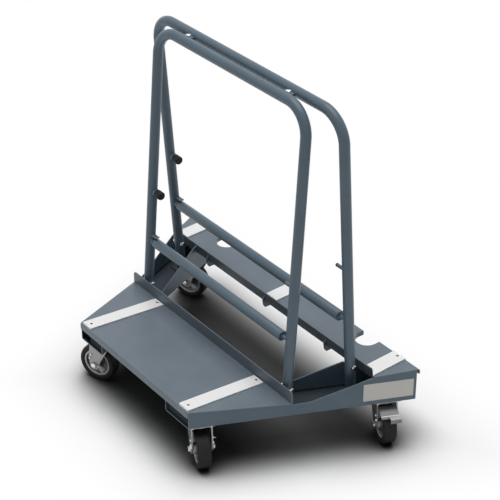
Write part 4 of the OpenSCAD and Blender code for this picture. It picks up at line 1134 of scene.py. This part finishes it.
class CART_OT_casters(bpy.types.Operator):
    """Finishes the caster plates, races, kingpins, forks, axles and mounting bolts"""

    bl_idname = "cart.casters"
    bl_label = "Casters"

    def execute(self, context):
        bolts, pins = Shell(), Shell()
        for name in CASTERS:
            matrix = caster_matrix(name)
            corners = [matrix @ Vector((x * PLATE_W / 2, y * PLATE_L / 2, PLATE_Z))
                       for x in SIDES for y in SIDES]
            formed(name + "_caster_plate", "zinc", [(corner, Z_AXIS, PLATE_CORNER_R) for corner in corners])
            formed(name + "_fork", "zinc", edge=0.0012)
            for x in SIDES:
                for y in SIDES:
                    place = Vector((x * MOUNT_PITCH_W / 2, y * MOUNT_PITCH_L / 2, FLOOR_Z))
                    turn = Matrix.Rotation(math.pi, 4, "X") @ Matrix.Rotation(0.4 * x + 0.9 * y, 4, "Z")
                    bolt(bolts, matrix @ Matrix.Translation(place) @ turn, MOUNT_BOLT_D,
                         PLATE_T + CHANNEL_T, MOUNT_NUT_H, 0.0005)
            self.kingpin(pins, matrix)
            self.race(name, matrix)
            self.axle(name)
            self.fork_heads(name, matrix)
        bolts.piece("caster_bolts_hex", "bright", stands_for=("caster_bolts",))
        pins.piece("kingpins_riveted", "zinc", stands_for=("kingpins",))
        return {"FINISHED"}

    def kingpin(self, pins, matrix):
        """A turned pin with a round head below the fork's crown, riveted at the top."""
        low, high, top = CROWN_Z - KINGPIN_HEAD_H, CROWN_Z - PLATE_GAP / 2, CASTER_HEIGHT - 0.001
        head, shank = KINGPIN_D / 2 + KINGPIN_HEAD_OUT, KINGPIN_D / 2
        line = [(0, low), (head, low), (head, high), (shank, high), (shank, top), (0, top)]
        profile = rounded(line, [0, 0.003, 0.001, 0, 0.001, 0], 5, closed=False)
        pins.grid(placed(revolved(profile, 48), matrix))

    def race(self, name, matrix):
        """A pressed ring with a rolled rim, turned round the kingpin."""
        bore, wide, slim = BOSS_D / 2 + PLATE_GAP, CROWN_D / 2 - 0.004, CROWN_D / 2 - 0.008
        top = RACE_Z + RACE_H - PLATE_GAP
        line = [(bore, RACE_Z), (wide, RACE_Z), (wide, RACE_Z + 0.0025), (slim, RACE_Z + 0.0032),
                (slim, top), (bore, top)]
        profile = rounded(line, [0.0004, 0.0012, 0.0010, 0.0008, 0.0016, 0.0004], 5)
        ring = Shell().grid(placed(revolved(profile, 72), matrix), round_rows=True)
        ring.piece(name + "_ball_race_turned", "zinc", name + "_swivel", (name + "_ball_race",))

    def axle(self, name):
        """The axle bolt: a chamfered head and nut, a shank, its bushing and a thread beyond the nut."""
        place = axle_matrix(name)
        shell = Shell()
        head = place @ Matrix.Translation((0, 0, -FORK_W / 2)) @ Matrix.Rotation(math.pi, 4, "X")
        hexagon(shell, head, AXLE_ACROSS, AXLE_HEAD_H)
        hexagon(shell, place @ Matrix.Translation((0, 0, NUT_Y)), AXLE_ACROSS, AXLE_NUT_H)
        low, high, r = -FORK_W / 2 - 0.001, NUT_Y + 0.001, AXLE_D / 2
        shell.grid(placed(revolved([(0, low), (r, low), (r, high), (0, high)], 32), place))
        bush = [(0, -FORK_IN), (BUSHING_D / 2, -FORK_IN), (BUSHING_D / 2, FORK_IN), (0, FORK_IN)]
        shell.grid(placed(revolved(rounded(bush, [0, 0.0006, 0.0006, 0], 3, closed=False), 40), place))
        top = place @ Matrix.Translation((0, 0, NUT_Y + AXLE_NUT_H - 0.0005))
        threaded_end(shell, top, AXLE_D / 2 - 0.0002, 0.001, 0.0012, 32)
        shell.piece(name + "_axle_bolt", "bright", name + "_swivel", (name + "_axle",))

    def fork_heads(self, name, matrix):
        """Round heads over the fork's fasteners, outside both legs."""
        shell = Shell()
        for side in SIDES:
            for out, up in FORK_BOLTS:
                middle = (CASTER_TRAIL + out, side * (FORK_W / 2 + 0.0005), WHEEL_R + up)
                turn = Matrix.Rotation(-side * math.pi / 2, 4, "X")
                dome(shell, matrix @ Matrix.Translation(middle) @ turn, FORK_BOLT_D / 2 + 0.0004, FORK_BOLT_H)
        shell.piece(name + "_fork_heads", "bright", name + "_swivel")


class CART_OT_wheels(bpy.types.Operator):
    """Turns the tyres and the cast wheel centres"""

    bl_idname = "cart.wheels"
    bl_label = "Wheels"

    def execute(self, context):
        steps = context.scene.cart_sizes.wheel_steps
        for name in CASTERS:
            place, body = axle_matrix(name), name + "_wheel"
            tyre = Shell().grid(placed(revolved(self.tyre_profile(), steps), place), round_rows=True)
            tyre.piece(name + "_tyre_moulded", "tyre", body, (name + "_tyre",), sharp=50, axle=place)
            rim = Shell().grid(placed(self.rim_surface(steps), place), round_rows=True)
            rim.piece(name + "_rim_cast", "rim", body, (name + "_rim",), sharp=50, axle=place)
        return {"FINISHED"}

    def tyre_profile(self):
        """Half a tyre's section and its mirror: bead, sidewall with a raised band, shoulder and tread."""
        half, r = TYRE_W / 2, WHEEL_R
        side = [(RIM_R, half - 0.005), (RIM_R + 0.0015, half - 0.0020), (RIM_R + 0.004, half - 0.0012),
                (r - 0.0145, half - 0.0006), (r - 0.0140, half), (r - 0.0095, half),
                (r - 0.0090, half - 0.0008), (r - 0.0050, half - 0.0014), (r - 0.0042, half - 0.0008),
                (r - 0.0036, half - 0.0016), (r - 0.0012, half - 0.0050), (r, half - 0.0105),
                (r, 0.0006), (r - 0.0003, 0.0002)]
        radii = [0, 0.001, 0.0015, 0.0004, 0.0005, 0.0005, 0.0004,
                 0.0004, 0.0003, 0.0012, 0.004, 0.008, 0.0003, 0]
        other = [(x, -y) for x, y in reversed(side)]
        return rounded(side + other, radii + radii[::-1], 4)

    def rim_surface(self, steps):
        """The wheel centre's section goes round the axle: hub, dish and lip on both sides."""
        bore = BUSHING_D / 2 + 0.00005
        hub, web, lip = FORK_IN - 0.001, TYRE_W / 2 - 0.014, TYRE_W / 2 - 0.003
        line = [(bore, hub), (0.0175, hub), (0.021, hub - 0.004), (0.0235, web + 0.001), (0.026, web),
                (RIM_R - 0.014, web), (RIM_R - 0.011, web + 0.001), (RIM_R - 0.0065, lip - 0.001),
                (RIM_R - 0.0055, lip), (RIM_R, lip)]
        radii = [0.0006, 0.0015, 0.0015, 0.002, 0.002, 0.002, 0.003, 0.001, 0.0008, 0.0003]
        other = [(x, -y) for x, y in reversed(line)]
        profile = rounded(line + other, radii + radii[::-1], 4)
        return revolved(profile, steps)


class CART_OT_brakes(bpy.types.Operator):
    """Softens the side levers and the brake pedals and puts near-white pads on the levers' tabs as painted
    highlights
    """

    bl_idname = "cart.brakes"
    bl_label = "Levers and pedals"

    def execute(self, context):
        for name in CASTERS:
            lever = formed(name + "_side_lever", "zinc", edge=0.0008)
            place = (caster_matrix(name) @ Matrix.Translation((CASTER_TRAIL - LEVER_ARM, LEVER_Y, WHEEL_R))
                     @ Matrix.Rotation(-LEVER_SLOPE, 4, "Y"))
            rim, top = 0.0012, LEVER_T / 2
            half = LEVER_TAB / 2 - rim
            # A near-white pad on the tab: painted highlight
            tread = Shell()
            slab(tread, place, (-half, rim, top - 0.0002), (half, LEVER_TAB - rim, top + 0.0003))
            tread.piece(name + "_lever_highlight_pad", "tread", lever["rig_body"])
            if name.startswith("rear"):
                formed(name + "_brake_pedal", "pedal", edge=0.0009)
        return {"FINISHED"}


class CART_OT_welds(bpy.types.Operator):
    """Adds the stitch welds between the decks and the channels' inner webs"""

    bl_idname = "cart.welds"
    bl_label = "Stitch welds"

    def execute(self, context):
        shell = Shell()
        for side in SIDES:
            for reach in FRONT_STITCHES:
                self.under_deck(shell, side, FRONT_Y + reach, front_z)
            for reach in REAR_STITCHES:
                self.under_deck(shell, side, REAR_INNER_Y + reach, rear_z)
        shell.piece("stitch_welds", "frame_paint", sharp=60)
        return {"FINISHED"}

    def under_deck(self, shell, side, y, height):
        """A bead in the corner between the inner web and the deck's underside, along the flare."""
        run = Vector((side * math.sin(FLARE), math.cos(FLARE), 0))
        x = half_length(y) - CHANNEL_W / math.cos(FLARE)
        middle = Vector((side * x, y, height(y) - DECK_T))
        bead(shell, straight(middle - run * STITCH_L / 2, middle + run * STITCH_L / 2), Z_AXIS)


class CART_OT_stage(bpy.types.Operator):
    """Lays the pale floor, hangs the studio light and sets the camera"""

    bl_idname = "cart.stage"
    bl_label = "Studio"

    azimuth: bpy.props.FloatProperty(
        name="Azimuth", description="Camera's angle round the cart from its front",
        default=math.radians(53.3), unit="ROTATION", subtype="ANGLE")
    elevation: bpy.props.FloatProperty(
        name="Elevation", description="Camera's angle above the floor",
        default=math.radians(30.9), unit="ROTATION", subtype="ANGLE")
    distance: bpy.props.FloatProperty(
        name="Distance", description="From the camera to the point it looks at",
        default=5.658, min=1, max=20, unit="LENGTH", subtype="DISTANCE")
    aim: bpy.props.FloatVectorProperty(
        name="Aim", description="The point that the camera looks at",
        default=(0.1211, 0.0596, 0.650), size=3, unit="LENGTH", subtype="XYZ")
    lens: bpy.props.FloatProperty(
        name="Lens", description="Focal length on a 36 mm frame",
        default=114.5, min=20, max=300, unit="CAMERA", subtype="NONE")
    source: bpy.props.FloatVectorProperty(
        name="Light from", description="Direction towards the overhead light",
        default=(-0.08, 0.04, 1.0), size=3, subtype="XYZ")
    strength: bpy.props.FloatProperty(
        name="Light strength", description="Power of the overhead light on each square metre",
        default=2.75, min=0, max=6)
    softness: bpy.props.FloatProperty(
        name="Light softness", description="How wide the overhead light looks from the floor",
        default=math.radians(56), min=0, max=math.pi, unit="ROTATION", subtype="ANGLE")

    def execute(self, context):
        self.floor()
        self.world(context.scene)
        self.overhead()
        self.camera(context.scene)
        context.scene.view_settings.view_transform = "Standard"
        return {"FINISHED"}

    def floor(self):
        """A round sheet on z = 0, finely ringed near the cart."""
        reach = np.concatenate([[0], np.geomspace(0.4, 14, 24)])
        angle = np.arange(96) * 2 * math.pi / 96
        points = np.stack([reach[:, None] * np.cos(angle), reach[:, None] * np.sin(angle),
                           0 * reach[:, None] * angle], -1)
        mesh = bpy.data.meshes.new("floor")
        shell = Shell().grid(points)
        mesh.from_pydata(np.concatenate(shell.points).tolist(), [], shell.faces)
        work = bmesh.new()
        work.from_mesh(mesh)
        bmesh.ops.remove_doubles(work, verts=work.verts, dist=1e-6)
        bmesh.ops.recalc_face_normals(work, faces=work.faces)
        if work.faces[0].normal.z < 0:
            bmesh.ops.reverse_faces(work, faces=work.faces)
        work.to_mesh(mesh)
        work.free()
        mesh.materials.append(self.floor_material())
        floor = bpy.data.objects.new("floor", mesh)
        bpy.context.scene.collection.objects.link(floor)

    def floor_material(self):
        """Pale matt floor with a painted shadow: dark below the cart and where it hides the sky, and plain
        white away from it.

        The distance from the cart's outline is |x| less the half length at y, or |y| less half the depth,
        with y counted from a little behind the middle."""
        shader = Shader("pale_floor")
        x, y, _ = shader.apart(shader.place())
        y = y - SHADE_BACK
        outside = x.maths("ABSOLUTE", x) - (half_length(SHADE_BACK) + math.tan(FLARE) * y)
        beyond = y.maths("ABSOLUTE", y) - CART_DEPTH / 2
        below = (1 - outside.between(*SHADE_FADE)) * (1 - beyond.between(*SHADE_FADE))
        share = outside.or_more(beyond).between(*WHITE_FADE) * self.seen(shader)
        speck = shader.noise(400, 3, 0.6)
        dark = (0.02, 0.02, 0.02, 1)
        colour = shader.mix(speck, (0.92, 0.92, 0.92, 1), (0.97, 0.97, 0.97, 1))
        # Painted shadow: ambient occlusion and a mask of the cart's outline darken the floor's colour
        open_sky = shader.node("ShaderNodeAmbientOcclusion", {"samples": 24}, {"Distance": SKY_REACH},
                               output="AO")
        colour = shader.mix(open_sky.between(0.30, 1.0), dark, colour)
        colour = shader.mix(0.92 * below, colour, dark)
        shader.set(Base_Color=colour, Roughness=0.9)
        shader.surface.inputs["Specular IOR Level"].default_value = 0.1
        white = shader.node("ShaderNodeEmission", None, {"Color": (1, 1, 1, 1), "Strength": 1.0})
        matt = Value(shader, shader.surface.outputs[0])
        both = shader.node("ShaderNodeMixShader", None, {0: share, 1: matt, 2: white})
        shader.feed(shader.tree.nodes["Material Output"].inputs["Surface"], both)
        return shader.material

    def seen(self, shader):
        """1 for rays from the camera, from a mirror and through glass, else 0."""
        rays = ("Is Camera Ray", "Is Glossy Ray", "Is Transmission Ray")
        camera, glossy, through = [shader.node("ShaderNodeLightPath", output=ray) for ray in rays]
        return camera.or_more(glossy).or_more(through)

    def world(self, scene):
        """An even pale sky that lights softly and is seen as plain white."""
        world = bpy.data.worlds.new("studio")
        world.use_nodes = True
        scene.world = world
        world.node_tree.nodes.clear()
        shader = Shader("studio", world.node_tree)
        strength = 0.09 + 0.91 * self.seen(shader)
        sky = shader.node("ShaderNodeBackground", None, {"Color": (1, 1, 1, 1), "Strength": strength})
        output = shader.tree.nodes.new("ShaderNodeOutputWorld")
        shader.feed(output.inputs["Surface"], sky)

    def overhead(self):
        """One wide soft light from above, a little to the left and behind."""
        light = bpy.data.lights.new("overhead_light", "SUN")
        light.energy = self.strength
        light.angle = self.softness
        lamp = bpy.data.objects.new("overhead_light", light)
        lamp.rotation_mode = "QUATERNION"
        lamp.rotation_quaternion = (-Vector(self.source)).to_track_quat("-Z", "Y")
        bpy.context.scene.collection.objects.link(lamp)

    def camera(self, scene):
        """Stands back from the aim by the distance, at the two angles."""
        data = bpy.data.cameras.new("camera")
        data.lens = self.lens
        data.sensor_width = 36.0
        camera = bpy.data.objects.new("camera", data)
        level, high = math.cos(self.elevation), math.sin(self.elevation)
        back = Vector((math.sin(self.azimuth) * level, -math.cos(self.azimuth) * level, high))
        camera.location = Vector(self.aim) + back * self.distance
        camera.rotation_mode = "QUATERNION"
        camera.rotation_quaternion = (-back).to_track_quat("-Z", "Y")
        scene.collection.objects.link(camera)
        scene.camera = camera


OPERATORS = (CART_OT_decks, CART_OT_channels, CART_OT_strips, CART_OT_end_plate, CART_OT_hoops, CART_OT_feet,
             CART_OT_bars, CART_OT_casters, CART_OT_wheels, CART_OT_brakes, CART_OT_welds, CART_OT_stage)


class VIEW3D_PT_cart(bpy.types.Panel):
    """Lists the steps that dress the cart, and the sizes and colours they use"""

    bl_label = "Drywall cart"
    bl_space_type = "VIEW_3D"
    bl_region_type = "UI"
    bl_category = "Cart"

    def draw(self, context):
        for group in (context.scene.cart_sizes, context.scene.cart_colours):
            box = self.layout.box()
            for name in group.__annotations__:
                box.prop(group, name)
        for operator in OPERATORS:
            self.layout.operator(operator.bl_idname)


CLASSES = (CartSizes, CartColours) + OPERATORS + (VIEW3D_PT_cart,)


def register():
    for item in CLASSES:
        bpy.utils.register_class(item)
    bpy.types.Scene.cart_sizes = bpy.props.PointerProperty(type=CartSizes)
    bpy.types.Scene.cart_colours = bpy.props.PointerProperty(type=CartColours)


def unregister():
    del bpy.types.Scene.cart_colours
    del bpy.types.Scene.cart_sizes
    for item in reversed(CLASSES):
        bpy.utils.unregister_class(item)


def main():
    register()
    for operator in OPERATORS:
        group, name = operator.bl_idname.split(".")
        getattr(getattr(bpy.ops, group), name)()
    for name, node in frame["nodes"].items():
        if not node.hide_render:
            raise RuntimeError(f"{name} still has its plain mesh")


if __name__ == "__main__":
    main()
